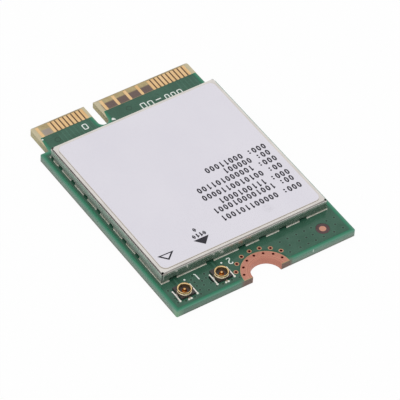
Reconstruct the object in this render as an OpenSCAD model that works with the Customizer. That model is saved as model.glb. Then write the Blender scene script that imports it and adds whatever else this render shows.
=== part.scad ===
// Wireless network card for a laptop: a plug-in board with two antenna sockets and a soldered shield can.
// Origin at the centre of the screw notch on the underside, +Y towards the contacts, +Z up through the label.

/* [Board] */
// Width of the board
board_w = 22; // [21.4:0.1:25]
// Length from the screw edge to the tip of the contact tab
board_l = 30; // [29.8:0.2:42]
// Thickness of the laminate
board_t = 0.8; // [0.6:0.05:1.2]
// Radius of the board's four outer corners
corner_r = 0.15; // [0.1:0.05:0.5]
// Width of the contact tab
tab_w = 19.85; // [19.4:0.05:20.6]
// Length of the contact tab
tab_l = 3.85; // [3.5:0.05:4]
// Radius of the tab's two tip corners
tab_r = 0.3; // [0.2:0.1:0.6]
// Length of the bevel at the tab's tip, on both faces
bevel_l = 0.1; // [0.1:0.02:0.2]
// Depth of that bevel
bevel_h = 0.05; // [0.05:0.01:0.2]
// Width of the key notch
key_w = 1.2; // [0.9:0.05:1.3]
// Depth of the key notch from the tip
key_l = 3.5; // [2.8:0.1:3.8]

/* [Contacts] */
// Distance between neighbouring contacts of one face
contact_pitch = 0.5; // [0.48:0.005:0.51]
// Width of one contact
contact_w = 0.35; // [0.25:0.01:0.4]
// Length of a contact on the label side
top_contact_l = 1.56; // [1.2:0.02:2.2]
// Length of a contact on the underside
bottom_contact_l = 2; // [1.4:0.05:2.4]
// Bare laminate between the contacts and the tip
contact_tip = 0.22; // [0.2:0.01:0.4]
// Thickness of every copper layer and of the plating in holes
copper_t = 0.03; // [0.02:0.005:0.05]

/* [Screw notch] */
// Radius of the plated half hole for the screw
notch_r = 1.75; // [1.6:0.05:1.9]
// Outer radius of the bare pad round it
pad_r = 2.75; // [2.6:0.05:2.9]
// Bare laminate between the pad and the screw edge
pad_edge = 0.08; // [0.05:0.01:0.3]
// Vias in each of the two rings round the notch
via_count = 7; // [4:1:8]
// Radius of a via's open bore
via_bore_r = 0.12; // [0.08:0.01:0.12]
// Radius of the copper ring round a via
via_ring_r = 0.22; // [0.18:0.01:0.24]
// Distance of the inner vias from the pad's outer edge
inner_via_inset = 0.28; // [0.26:0.01:0.32]
// Distance of the outer vias from the pad's outer edge
outer_via_gap = 0.47; // [0.32:0.01:0.5]

/* [Marks and test pads] */
// Radius of the copper placement dot
fiducial_r = 0.375; // [0.2:0.025:0.5]
// Place of that dot across the board
fiducial_x = 8.23; // [6:0.01:9.5]
// Place of that dot from the screw edge
fiducial_y = 1.95; // [1:0.01:3]
// Radius of a test pad on the underside
test_pad_r = 0.5; // [0.3:0.05:0.8]
// Distance between the test pads
test_pad_pitch = 3; // [2:0.1:3.4]
// Distance of the first row of test pads from the screw edge
test_pad_y = 9; // [6:0.1:15]

/* [Shield can] */
// Width of the can
can_w = 20.4; // [20:0.1:20.7]
// Length of the can
can_l = 21.3; // [20.8:0.1:21.5]
// Height of the can above the board
can_h = 1.4; // [1.2:0.05:2.4]
// Distance of the can from the screw edge
can_y = 4.05; // [4:0.05:4.1]
// Thickness of the sheet
sheet_t = 0.15; // [0.1:0.01:0.18]
// Outer radius of the bends
bend_r = 0.25; // [0.2:0.01:0.4]
// Width of the slit where two walls meet
slit_w = 0.08; // [0.04:0.01:0.12]
// Radius of the relief hole at the top of each slit
relief_r = 0.12; // [0.08:0.01:0.14]
// Distance of the relief hole from both outer faces
relief_inset = 0.17; // [0.14:0.01:0.2]
// Height of the gaps between the feet
gap_h = 0.32; // [0.2:0.02:0.5]
// Width of a gap in the front wall
front_gap_w = 0.9; // [0.6:0.05:1.1]
// Place across the board of the front wall's first gap that has no socket
front_gap_x = -0.4; // [-0.8:0.05:0]
// Distance between those front gaps
front_gap_pitch = 2.53; // [2.3:0.01:2.8]
// Width of a gap in the other walls
side_gap_w = 0.72; // [0.5:0.02:0.9]
// Distance of the first side gap from the front wall
side_gap_y = 4.52; // [4:0.02:4.8]
// Distance between gaps in the other walls
side_gap_pitch = 2.46; // [2.2:0.02:2.5]
// Width of the small gap next to each far corner
corner_gap_w = 0.5; // [0.3:0.05:0.5]
// Distance of that gap's middle from the far wall
corner_gap_inset = 0.45; // [0.42:0.01:0.5]
// Reach of the solder fillets along the board
solder_w = 0.12; // [0.1:0.02:0.2]
// Height of those fillets on the feet
solder_h = 0.14; // [0.1:0.02:0.26]

/* [Label] */
// Rim of the can that stays bare beside the label
label_rim = 0.42; // [0.4:0.01:0.8]
// Corner radius of the label
label_r = 0.7; // [0.3:0.05:1.2]
// Thickness of the label
label_t = 0.06; // [0.04:0.01:0.12]

/* [Antenna sockets] */
// Place of the first socket's centre across the board
socket_x = -8.85; // [-8.9:0.05:-8.7]
// Distance between the two sockets
socket_pitch = 4.5; // [4.2:0.05:4.5]
// Distance of the sockets from the screw edge
socket_y = 1.93; // [1.6:0.01:2.1]
// Height of a socket above the board
socket_h = 0.6; // [0.5:0.02:0.8]
// Width of the plastic base
base_w = 1.7; // [1.6:0.05:1.8]
// Height of the plastic base
base_h = 0.24; // [0.2:0.02:0.26]
// Reach of the base from the centre towards the screw edge
base_front = 0.8; // [0.78:0.02:0.9]
// Reach of the base from the centre towards the can
base_back = 0.95; // [0.8:0.02:1.1]
// Outer radius of the gold ring
ring_r = 0.75; // [0.7:0.01:0.8]
// Wall of the gold ring
ring_t = 0.13; // [0.09:0.01:0.16]
// Height of the lip that the plug snaps over
lip_h = 0.16; // [0.1:0.01:0.17]
// Depth of the snap groove under the lip
groove_d = 0.05; // [0.03:0.01:0.06]
// Thickness of the metal strip of legs and signal tab
strip_t = 0.07; // [0.05:0.01:0.08]
// Reach of the ground legs from the centre to each side
leg_x = 1.1; // [1:0.02:1.14]
// Width of the rail along each ground leg, a slot away from the base
rail_w = 0.12; // [0.08:0.01:0.12]
// Reach of the ground legs from the centre towards the can
leg_back = 0.66; // [0.4:0.02:0.7]
// Half the width of the web between ring and leg
web_w = 0.2; // [0.16:0.02:0.36]
// Radius of the centre pin
pin_r = 0.14; // [0.09:0.01:0.14]
// Distance of the pin's tip below the ring's top
pin_drop = 0.08; // [0.04:0.01:0.12]
// Width of the signal tab
tab_strip_w = 0.3; // [0.24:0.02:0.36]
// Reach of the signal tab from the centre towards the screw edge
tab_reach = 1.08; // [1:0.02:1.2]
// Radius of a solder bead
bead_r = 0.16; // [0.12:0.01:0.18]
// Gap between the moulded base and the metal in it
mould_fit = 0.01; // [0.005:0.005:0.02]

/* [Parts under the can] */
// Place of the radio chip's middle across the can
chip_x = 2; // [1.9:0.05:2.1]
// Place of the radio chip's middle along the can
chip_y = 2.6; // [2.5:0.05:2.7]
// Side of the radio chip
chip_w = 10; // [8:0.1:10.2]
// Height of the radio chip's body
chip_h = 0.8; // [0.6:0.05:0.85]
// Thickness of the chip's solder pads
chip_pad_t = 0.05; // [0.03:0.01:0.08]
// Contact pads along each side of the chip
chip_pads = 17; // [9:2:17]
// Distance between those pads
chip_pad_pitch = 0.5; // [0.4:0.02:0.52]
// Side of the pad under the chip's middle
chip_middle = 5.5; // [3:0.1:6]
// Length of the clock crystal
crystal_l = 3.2; // [2.5:0.1:3.4]
// Width of the clock crystal
crystal_w = 2.5; // [2:0.1:2.6]
// Height of the crystal's ceramic base
crystal_h = 0.4; // [0.3:0.02:0.6]
// Space between the can's left wall and the crystal
crystal_space = 1.85; // [1.5:0.05:2]
// Space between the crystal and the memory chip
crystal_gap = 1.15; // [0.6:0.05:1.3]
// Height of the crystal's metal lid
crystal_lid_h = 0.3; // [0.2:0.02:0.4]
// Length of the memory chip
memory_l = 3; // [2:0.1:3.2]
// Space between the memory chip and the can's far wall
memory_space = 0.9; // [0.5:0.05:1]
// Width of the memory chip
memory_w = 2; // [1.5:0.1:2.2]
// Height of the memory chip
memory_h = 0.6; // [0.4:0.05:0.9]
// Side of a front-end module
module_w = 3; // [2:0.1:3.2]
// Shift of a front-end module from its antenna line towards the board's middle
module_inset = 0.6; // [0.55:0.05:0.65]
// Space between a front-end module and the row of the radio chip's near side
module_gap = 0.5; // [0.45:0.05:0.6]
// Height of a front-end module
module_h = 0.75; // [0.5:0.05:0.95]
// Space between the can's left wall and the first diplexer
diplexer_space = 0.2; // [0.15:0.05:0.25]
// Space between a diplexer and its small capacitors
diplexer_gap = 0.525; // [0.4:0.025:0.6]
// Length of a diplexer
diplexer_l = 2; // [1.6:0.1:2.2]
// Width of a diplexer
diplexer_w = 1.25; // [0.8:0.05:1.3]
// Height of a diplexer
diplexer_h = 0.85; // [0.5:0.05:0.95]
// Length of a power inductor
inductor_l = 2.5; // [2:0.1:2.6]
// Width of a power inductor
inductor_w = 2; // [1.6:0.1:2.2]
// Height of a power inductor
inductor_h = 1; // [0.6:0.02:1]
// Space between the second inductor and the can's right wall
inductor_space = 1.6; // [1.2:0.05:2]
// Distance between the two inductors
inductor_pitch = 3.7; // [3.2:0.1:4]
// Space between the inductors and the row of resistors
inductor_gap = 0.8; // [0.4:0.05:0.9]
// Length of a capacitor
capacitor_l = 1; // [0.8:0.05:1.2]
// Width and height of a capacitor
capacitor_w = 0.5; // [0.4:0.02:0.6]
// Distance between neighbouring capacitors of a row
capacitor_pitch = 1.9; // [1.6:0.05:1.95]
// Space between the radio chip and the capacitors before it
capacitor_gap = 1.25; // [1.2:0.05:1.3]
// Space between the capacitors behind the radio chip and the can's far wall
far_row_space = 1.15; // [0.8:0.05:1.3]
// Space between the right-hand column of capacitors and the can's wall
column_space = 1.2; // [0.8:0.05:1.3]
// Middle of the row of capacitors behind the radio chip
far_row_x = 1.8; // [1.7:0.05:1.9]
// Middle of the row of capacitors before the radio chip
near_row_x = 2.3; // [2.25:0.05:2.4]
// Middle of the columns of capacitors and resistors, along the can
column_y = 2.8; // [2.7:0.05:2.9]
// Length of a small capacitor or a resistor
small_l = 0.6; // [0.5:0.02:0.64]
// Width of a small capacitor or a resistor
small_w = 0.3; // [0.2:0.02:0.34]
// Height of a small capacitor
small_h = 0.3; // [0.2:0.02:0.4]
// Height of a resistor
resistor_h = 0.23; // [0.15:0.01:0.3]
// Distance between neighbouring resistors of a row
resistor_pitch = 0.9; // [0.7:0.02:0.94]
// Middle of the row of resistors
resistor_row_x = 1.95; // [1.9:0.05:2]
// Space between the row of resistors and the capacitors behind it
resistor_gap = 1.05; // [0.9:0.05:1.1]
// Space between the can's left wall and the column of resistors
resistor_space = 0.45; // [0.3:0.05:0.6]
// Distance of a small capacitor from its antenna line
matching_offset = 0.45; // [0.4:0.05:0.5]
// Space between the small capacitors and their front-end module
matching_gap = 0.55; // [0.4:0.05:0.6]
// Share of a chip part's length that each tinned end takes
end_share = 0.24; // [0.15:0.01:0.3]

/* [Hidden] */
$fn = 32;
cut = 1;                                   // overshoot of every cutting tool

// Contact positions count across both faces: odd ones lie on the label side, even ones below
middle_position = 38;
key_positions = [24, 31];                  // positions that the key notch takes away
function contact_x(n) = (n - middle_position) * contact_pitch / 2;
top_positions = concat([1], [for (n = [7:2:23]) n], [for (n = [33:6:51]) n], [for (n = [57:2:75]) n]);
bottom_positions = concat([for (n = [2:2:22]) n], [for (n = [32:2:74]) n]);
key_x = contact_x((key_positions[0] + key_positions[1]) / 2);

shoulder_y = board_l - tab_l;
board_top = board_t;
via_outer_r = via_bore_r + copper_t;       // outside of a via's barrel
function arc_places(r, arc, n) =
    [for (i = [0:n - 1]) let (a = arc[0] + (arc[1] - arc[0]) * i / (n - 1)) [r * cos(a), r * sin(a)]];
inner_via_arc = [18, 162];                 // first and last angle, in degrees
outer_via_arc = [30, 152];
inner_vias = arc_places(pad_r - inner_via_inset, inner_via_arc, via_count);
outer_vias = arc_places(pad_r + outer_via_gap, outer_via_arc, via_count);
test_pad_columns = 5;
test_pad_rows = 2;
test_places = [for (i = [0:test_pad_columns - 1], j = [0:test_pad_rows - 1])
    [(i - (test_pad_columns - 1) / 2) * test_pad_pitch, test_pad_y + j * test_pad_pitch]];

can_back = can_y + can_l;
can_middle = [0, can_y + can_l / 2];
can_top = board_top + can_h;
socket_places = [[socket_x, socket_y], [socket_x + socket_pitch, socket_y]];
// Gaps as [place along the wall, width]; the first two let the antenna lines out to their sockets
gap_free_end = 1.5;                        // stretch next to a corner that takes no further gap
front_gap_count = floor((can_w / 2 - gap_free_end - front_gap_x) / front_gap_pitch) + 1;
front_gaps = concat([for (p = socket_places) [p[0], front_gap_w]],
                    [for (i = [0:front_gap_count - 1]) [front_gap_x + i * front_gap_pitch, front_gap_w]]);
side_gap_count = floor((can_l - side_gap_y - corner_gap_inset - corner_gap_w) / side_gap_pitch) + 1;
side_gaps = concat([for (i = [0:side_gap_count - 1]) [can_y + side_gap_y + i * side_gap_pitch, side_gap_w]],
                   [[can_back - corner_gap_inset, corner_gap_w]]);
far_gap_reach = floor((can_w / 2 - gap_free_end) / side_gap_pitch);
far_gaps = [for (i = [-far_gap_reach:far_gap_reach]) [i * side_gap_pitch, side_gap_w]];

// Places under the can are counted from its middle; a part near a wall keeps its space to that wall
clear_x = can_w / 2 - sheet_t;
clear_y = can_l / 2 - sheet_t;
chip_near_y = chip_y - chip_w / 2;
crystal_x = crystal_space + crystal_l / 2 - clear_x;
memory_y = clear_y - memory_space - memory_w / 2;
crystal_y = memory_y - (memory_w + crystal_w) / 2 - crystal_gap;
antenna_lines = [diplexer_space + diplexer_l / 2 - clear_x, socket_x + socket_pitch];
module_y = chip_near_y - module_gap - module_w / 2;
matching_y = module_y - (module_w + small_l) / 2 - matching_gap;
diplexer_y = matching_y - (small_l + diplexer_w) / 2 - diplexer_gap;
near_row_y = chip_near_y - capacitor_gap - capacitor_w / 2;
far_row_y = clear_y - far_row_space - capacitor_w / 2;
column_x = clear_x - column_space - capacitor_w / 2;
resistor_row_y = near_row_y - (capacitor_w + small_l) / 2 - resistor_gap;
resistor_column_x = resistor_space + small_l / 2 - clear_x;
inductor_x = clear_x - inductor_space - inductor_l / 2;
inductor_y = resistor_row_y - (small_l + inductor_w) / 2 - inductor_gap;
inductor_places = [[inductor_x - inductor_pitch, inductor_y], [inductor_x, inductor_y]];
function spread(middle, count, pitch) = [for (i = [0:count - 1]) middle + (i - (count - 1) / 2) * pitch];
// Each place is [x, y, turn]
capacitor_count = 5;
capacitor_places = concat([for (x = spread(far_row_x, capacitor_count, capacitor_pitch)) [x, far_row_y, 0]],
                          [for (x = spread(near_row_x, capacitor_count, capacitor_pitch)) [x, near_row_y, 0]],
                          [for (y = spread(column_y, capacitor_count, capacitor_pitch)) [column_x, y, 90]]);
small_places = [for (x = antenna_lines, s = [-1, 1]) [x + s * matching_offset, matching_y, 90]];
resistor_row_count = 8;
resistor_column_count = 5;
resistor_places = concat(
    [for (x = spread(resistor_row_x, resistor_row_count, resistor_pitch)) [x, resistor_row_y, 90]],
    [for (y = spread(column_y, resistor_column_count, resistor_pitch)) [resistor_column_x, y, 0]]);

gold = [0.86, 0.68, 0.3];
copper = [0.75, 0.42, 0.33];
tin = [0.82, 0.83, 0.82];

// Flat profile with two rounded upper corners, standing on the X axis
module arch(w, h, r) {
    translate([-w / 2, 0]) square([w, h - r]);
    translate([r - w / 2, 0]) square([w - 2 * r, h]);
    for (s = [-1, 1]) translate([s * (w / 2 - r), h - r]) circle(r);
}

// Block with a folded edge along each side of its top
module folded_block(w, l, h, r) {
    intersection() {
        translate([0, l / 2, 0]) rotate([90, 0, 0]) linear_extrude(l) arch(w, h, r);
        translate([-w / 2, 0, 0]) rotate([90, 0, 90]) linear_extrude(w) arch(l, h, r);
    }
}

module rounded_rectangle(w, l, r) {
    square([w, l - 2 * r], center = true);
    square([w - 2 * r, l], center = true);
    for (x = [-1, 1], y = [-1, 1]) translate([x * (w / 2 - r), y * (l / 2 - r)]) circle(r);
}

module tube(r_out, r_in, h) {
    difference() {
        cylinder(r = r_out, h = h);
        translate([0, 0, -cut]) cylinder(r = r_in, h = h + 2 * cut);
    }
}

// Keeps the half of a round form that lies on the board, from y upwards
module board_side(y) {
    intersection() {
        children();
        translate([-board_w / 2, y, -cut]) cube([board_w, board_l, board_t + 2 * cut]);
    }
}

// One contact finger seen from above, its tip edge at y = 0 and its round end towards the board
module finger(l) {
    translate([-contact_w / 2, contact_w / 2 - l]) square([contact_w, l - contact_w / 2]);
    translate([0, contact_w / 2 - l]) circle(d = contact_w);
}

module finger_row(positions, l, z) {
    for (n = positions)
        translate([contact_x(n), board_l - contact_tip, z]) linear_extrude(copper_t) finger(l);
}

module board_outline() {
    difference() {
        union() {
            translate([0, shoulder_y / 2]) rounded_rectangle(board_w, shoulder_y, corner_r);
            translate([0, shoulder_y - tab_r]) arch(tab_w, tab_l + tab_r, tab_r);
        }
        translate([key_x - key_w / 2, board_l - key_l + key_w / 2]) square([key_w, key_l]);
        translate([key_x, board_l - key_l + key_w / 2]) circle(d = key_w);
        circle(notch_r + copper_t);
        for (p = concat(inner_vias, outer_vias)) translate(p) circle(via_outer_r);
    }
}

// Side view of the board, bevelled on both faces at the tip
module board_profile() {
    polygon([[-cut, 0], [board_l - bevel_l, 0], [board_l, bevel_h], [board_l, board_t - bevel_h],
             [board_l - bevel_l, board_t], [-cut, board_t]]);
}

module circuit_board() {
    color([0.13, 0.45, 0.33]) difference() {
        intersection() {
            linear_extrude(board_t) board_outline();
            translate([-board_w / 2, 0, 0]) rotate([90, 0, 90]) linear_extrude(board_w) board_profile();
        }
        finger_row(top_positions, top_contact_l, board_top - copper_t);
        finger_row(bottom_positions, bottom_contact_l, 0);
        for (z = [0, board_top - copper_t]) translate([0, 0, z]) {
            board_side(pad_edge) cylinder(r = pad_r, h = copper_t);
            for (p = outer_vias) translate(p) cylinder(r = via_ring_r, h = copper_t);
        }
        translate([fiducial_x, fiducial_y, board_top - copper_t]) cylinder(r = fiducial_r, h = copper_t);
        for (p = test_places) translate(p) cylinder(r = test_pad_r, h = copper_t);
    }
}

module top_contacts() {
    color(gold) finger_row(top_positions, top_contact_l, board_top - copper_t);
}

module bottom_contacts() {
    color(gold) finger_row(bottom_positions, bottom_contact_l, 0);
}

// Bare copper pad on both faces, joined through the plated half hole and the inner vias
module mounting_pad() {
    color(copper) difference() {
        union() {
            for (z = [0, board_top - copper_t])
                translate([0, 0, z]) board_side(pad_edge) cylinder(r = pad_r, h = copper_t);
            board_side(0) cylinder(r = notch_r + copper_t, h = board_t);
            for (p = inner_vias) translate(p) cylinder(r = via_outer_r, h = board_t);
        }
        translate([0, 0, -cut]) cylinder(r = notch_r, h = board_t + 2 * cut);
        for (p = inner_vias) translate([p[0], p[1], -cut]) cylinder(r = via_bore_r, h = board_t + 2 * cut);
    }
}

module ground_vias() {
    color(copper) for (p = outer_vias) translate(p) {
        tube(via_outer_r, via_bore_r, board_t);
        for (z = [0, board_top - copper_t]) translate([0, 0, z]) tube(via_ring_r, via_bore_r, copper_t);
    }
}

module fiducial_dot() {
    color(copper) translate([fiducial_x, fiducial_y, board_top - copper_t])
        cylinder(r = fiducial_r, h = copper_t);
}

module test_pads() {
    color(copper) for (p = test_places) translate(p) cylinder(r = test_pad_r, h = copper_t);
}

// Cutters for the gaps between the feet, thick enough to cut a wall and the solder outside it
module foot_gaps(h) {
    depth = 2 * (sheet_t + solder_w);
    for (g = front_gaps)
        translate([g[0] - g[1] / 2, can_y - depth / 2, board_top - cut]) cube([g[1], depth, h + cut]);
    for (g = far_gaps)
        translate([g[0] - g[1] / 2, can_back - depth / 2, board_top - cut]) cube([g[1], depth, h + cut]);
    for (s = [-1, 1], g = side_gaps)
        translate([s * can_w / 2 - depth / 2, g[0] - g[1] / 2, board_top - cut]) cube([depth, g[1], h + cut]);
}

// Slit and relief hole where two walls meet, drawn for the corner at +X +Y
module corner_relief() {
    translate([-relief_inset, -relief_inset, -cut]) {
        cylinder(r = relief_r, h = can_h + 2 * cut);
        rotate(45) translate([0, -slit_w / 2, 0]) cube([relief_inset * 2, slit_w, can_h + 2 * cut]);
    }
}

// One piece of sheet, folded down on four sides, with castellated feet
module shield_can() {
    color([0.8, 0.79, 0.75]) difference() {
        translate([can_middle[0], can_middle[1], board_top]) difference() {
            folded_block(can_w, can_l, can_h, bend_r);
            translate([0, 0, -cut])
                folded_block(can_w - 2 * sheet_t, can_l - 2 * sheet_t, can_h - sheet_t + cut, bend_r - sheet_t);
            for (x = [0, 1], y = [0, 1])
                mirror([x, 0, 0]) mirror([0, y, 0]) translate([can_w / 2, can_l / 2, 0]) corner_relief();
        }
        foot_gaps(gap_h);
    }
}

// Hollow-faced fillet section with its square corner at the origin
module fillet_section(w, h) {
    hollow = 0.4;
    steps = 4;
    polygon(concat([[0, 0]], [for (i = [0:steps]) let (t = i / steps)
        [w * (1 - t) * (1 - hollow * t), h * t * (1 - hollow * (1 - t))]]));
}

module shield_solder() {
    color(tin) difference() {
        translate([can_middle[0], can_middle[1], board_top]) {
            for (s = [0, 1]) mirror([s, 0, 0])
                translate([can_w / 2, can_l / 2, 0]) rotate([90, 0, 0])
                    linear_extrude(can_l) fillet_section(solder_w, solder_h);
            for (s = [0, 1]) mirror([0, s, 0])
                translate([-can_w / 2, can_l / 2, 0]) rotate([90, 0, 90])
                    linear_extrude(can_w) fillet_section(solder_w, solder_h);
            for (x = [0, 1], y = [0, 1]) mirror([x, 0, 0]) mirror([0, y, 0])
                translate([can_w / 2, can_l / 2, 0])
                    rotate_extrude(angle = 90) fillet_section(solder_w, solder_h);
        }
        foot_gaps(gap_h);
    }
}

module label() {
    color([0.87, 0.85, 0.89]) translate([can_middle[0], can_middle[1], can_top])
        linear_extrude(label_t) rounded_rectangle(can_w - 2 * label_rim, can_l - 2 * label_rim, label_r);
}

// Everything of a socket is drawn round its centre, on the board's surface
module at_socket(i) {
    translate([socket_places[i][0], socket_places[i][1], board_top]) children();
}

module signal_tab(play) {
    translate([-tab_strip_w / 2 - play, -tab_reach, -play])
        cube([tab_strip_w + 2 * play, tab_reach + pin_r + play, strip_t + 2 * play]);
}

// A short web out of the base, and the rail that is soldered to the board
module ground_leg_foot() {
    translate([base_w / 2, -web_w, 0]) cube([leg_x - base_w / 2, 2 * web_w, strip_t]);
    translate([leg_x - rail_w, -base_front, 0]) cube([rail_w, base_front + leg_back, strip_t]);
}

module socket_housing(i) {
    color([0.16, 0.14, 0.16]) at_socket(i) difference() {
        translate([-base_w / 2, -base_front, 0]) cube([base_w, base_front + base_back, base_h]);
        translate([0, 0, -cut]) cylinder(r = pin_r + mould_fit, h = base_h + 2 * cut);
        signal_tab(mould_fit);
    }
}

// Wall of the gold ring, with the round groove that the plug snaps into
module ring_section() {
    inner = ring_r - ring_t;
    lead_in = ring_t / 3;
    groove_low = base_h + strip_t;
    groove_half = (socket_h - lip_h - groove_low) / 2;
    groove_r = (groove_half * groove_half + groove_d * groove_d) / (2 * groove_d);
    difference() {
        polygon([[inner, base_h], [ring_r, base_h], [ring_r, socket_h], [inner + lead_in, socket_h],
                 [inner, socket_h - lead_in]]);
        translate([ring_r - groove_d + groove_r, groove_low + groove_half]) circle(groove_r);
    }
}

// The ring, and a leg down each side of the base
module socket_shell(i) {
    inner = ring_r - ring_t;
    color(gold) at_socket(i) {
        rotate_extrude() ring_section();
        for (s = [0, 1]) mirror([s, 0, 0]) {
            translate([inner + ring_t / 2, -web_w, base_h])
                cube([base_w / 2 + strip_t - inner - ring_t / 2, 2 * web_w, strip_t]);
            translate([base_w / 2, -web_w, 0]) cube([strip_t, 2 * web_w, base_h + strip_t]);
            ground_leg_foot();
        }
    }
}

module socket_pin(i) {
    color(gold) at_socket(i) {
        cylinder(r = pin_r, h = socket_h - pin_drop - pin_r);
        translate([0, 0, socket_h - pin_drop - pin_r]) sphere(pin_r);
        signal_tab(0);
    }
}

// Bead of solder on the board, a little less than half a ball
module bead(x, y) {
    sunk = 0.3 * bead_r;
    intersection() {
        translate([x, y, -sunk]) sphere(bead_r);
        translate([x - bead_r, y - bead_r, 0]) cube([2 * bead_r, 2 * bead_r, bead_r]);
    }
}

module socket_solder(i) {
    color(tin) at_socket(i) {
        difference() {
            union() for (s = [0, 1]) mirror([s, 0, 0]) {
                translate([leg_x, leg_back, 0]) rotate([90, 0, 0])
                    linear_extrude(base_front + leg_back) fillet_section(strip_t * 1.5, strip_t);
                bead(leg_x - rail_w / 2, -base_front - bead_r / 4);
            }
            for (s = [0, 1]) mirror([s, 0, 0]) translate([base_w / 2 - cut, -base_front, -cut])
                cube([leg_x - base_w / 2 + cut, base_front + leg_back, 3 * cut]);
        }
        difference() {
            for (s = [-1, 1]) bead(s * tab_strip_w / 2, -tab_reach);
            translate([-tab_strip_w / 2, -tab_reach, -cut]) cube([tab_strip_w, tab_reach, 2 * cut + strip_t]);
            translate([-base_w / 2, -base_front, -cut]) cube([base_w, base_front, 3 * cut]);
        }
    }
}

// Everything under the can stands on the board at a place counted from the can's middle
module under_can(p) {
    translate([can_middle[0] + p[0], can_middle[1] + p[1], board_top]) rotate(len(p) > 2 ? p[2] : 0) children();
}

module block(l, w, h) {
    translate([-l / 2, -w / 2, 0]) cube([l, w, h]);
}

// Middle of a chip part, between its tinned ends
module chip_part_body(l, w, h) {
    block(l * (1 - 2 * end_share), w, h);
}

module chip_part_ends(l, w, h) {
    for (s = [-1, 1]) translate([s * l * (1 - end_share) / 2, 0, 0]) block(l * end_share, w, h);
}

module radio_chip() {
    color([0.13, 0.13, 0.14]) under_can([chip_x, chip_y]) translate([0, 0, chip_pad_t])
        block(chip_w, chip_w, chip_h);
}

module radio_chip_pads() {
    pad_l = 0.45;
    color(tin) under_can([chip_x, chip_y]) {
        block(chip_middle, chip_middle, chip_pad_t);
        for (side = [0:3], i = [0:chip_pads - 1]) rotate(side * 90)
            translate([(i - (chip_pads - 1) / 2) * chip_pad_pitch, (chip_w - pad_l) / 2, 0])
                block(chip_pad_pitch / 2, pad_l, chip_pad_t);
    }
}

module crystal_base() {
    color([0.85, 0.82, 0.72]) under_can([crystal_x, crystal_y]) block(crystal_l, crystal_w, crystal_h);
}

module crystal_lid() {
    rim = 0.2;
    color([0.8, 0.8, 0.82]) under_can([crystal_x, crystal_y]) translate([0, 0, crystal_h])
        linear_extrude(crystal_lid_h) rounded_rectangle(crystal_l - 2 * rim, crystal_w - 2 * rim, rim);
}

module memory_chip() {
    color([0.14, 0.14, 0.15]) under_can([crystal_x, memory_y]) block(memory_l, memory_w, memory_h);
}

module front_end_modules() {
    color([0.15, 0.15, 0.17]) for (x = antenna_lines)
        under_can([x + module_inset, module_y]) block(module_w, module_w, module_h);
}

module diplexers() {
    color([0.8, 0.82, 0.84]) for (x = antenna_lines)
        under_can([x, diplexer_y]) block(diplexer_l, diplexer_w, diplexer_h);
}

module power_inductors() {
    color([0.35, 0.35, 0.36]) for (p = inductor_places)
        under_can(p) chip_part_body(inductor_l, inductor_w, inductor_h);
}

module inductor_terminals() {
    color(tin) for (p = inductor_places) under_can(p) chip_part_ends(inductor_l, inductor_w, inductor_h);
}

module capacitors() {
    color([0.66, 0.53, 0.4]) for (p = capacitor_places)
        under_can(p) chip_part_body(capacitor_l, capacitor_w, capacitor_w);
}

module capacitor_terminals() {
    color(tin) for (p = capacitor_places) under_can(p) chip_part_ends(capacitor_l, capacitor_w, capacitor_w);
}

module small_capacitors() {
    color([0.66, 0.53, 0.4]) for (p = small_places) under_can(p) chip_part_body(small_l, small_w, small_h);
}

module small_capacitor_terminals() {
    color(tin) for (p = small_places) under_can(p) chip_part_ends(small_l, small_w, small_h);
}

module resistors() {
    color([0.12, 0.12, 0.13]) for (p = resistor_places) under_can(p) chip_part_body(small_l, small_w, resistor_h);
}

module resistor_terminals() {
    color(tin) for (p = resistor_places) under_can(p) chip_part_ends(small_l, small_w, resistor_h);
}

circuit_board();
top_contacts();
bottom_contacts();
mounting_pad();
ground_vias();
fiducial_dot();
test_pads();
shield_can();
shield_solder();
label();
socket_housing(0);  // antenna_socket_1_housing
socket_shell(0);  // antenna_socket_1_shell
socket_pin(0);  // antenna_socket_1_pin
socket_solder(0);  // antenna_socket_1_solder
socket_housing(1);  // antenna_socket_2_housing
socket_shell(1);  // antenna_socket_2_shell
socket_pin(1);  // antenna_socket_2_pin
socket_solder(1);  // antenna_socket_2_solder
radio_chip();
radio_chip_pads();
crystal_base();
crystal_lid();
memory_chip();
front_end_modules();
diplexers();
power_inductors();
inductor_terminals();
capacitors();
capacitor_terminals();
small_capacitors();
small_capacitor_terminals();
resistors();
resistor_terminals();
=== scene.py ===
import math
import random

import bmesh
import bpy
from mathutils import Matrix, Vector
from mathutils.geometry import tessellate_polygon


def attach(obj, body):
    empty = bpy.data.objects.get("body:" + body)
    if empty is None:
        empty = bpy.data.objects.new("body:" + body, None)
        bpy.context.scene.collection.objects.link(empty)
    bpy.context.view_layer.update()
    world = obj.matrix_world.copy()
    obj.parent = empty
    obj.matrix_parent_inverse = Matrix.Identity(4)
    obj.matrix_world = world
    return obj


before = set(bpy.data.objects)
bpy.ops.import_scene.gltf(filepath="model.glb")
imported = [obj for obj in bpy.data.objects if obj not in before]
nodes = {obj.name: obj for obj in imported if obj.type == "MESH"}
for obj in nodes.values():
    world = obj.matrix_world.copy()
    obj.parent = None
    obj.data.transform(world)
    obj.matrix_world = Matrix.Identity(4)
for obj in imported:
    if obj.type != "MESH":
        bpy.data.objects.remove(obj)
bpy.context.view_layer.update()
scene = bpy.context.scene
scene.view_settings.view_transform = "Standard"
mm = 0.001  # every length below is in millimetres, the scene is in metres
print("frame loaded,", len(nodes), "nodes")

# camera first: a long lens, left of the screw edge and well above the table
cameraSet = {
    "azimuth": 324.04,
    "elevation": 45.53,
    "roll": 3.358,
    "distance": 358.02,
    "aim": (0.156, 12.589, 0.0),
    "lens": 310.01,
    "sensor": 36.0,
    "clip": (0.01, 20.0),  # metres
}


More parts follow.
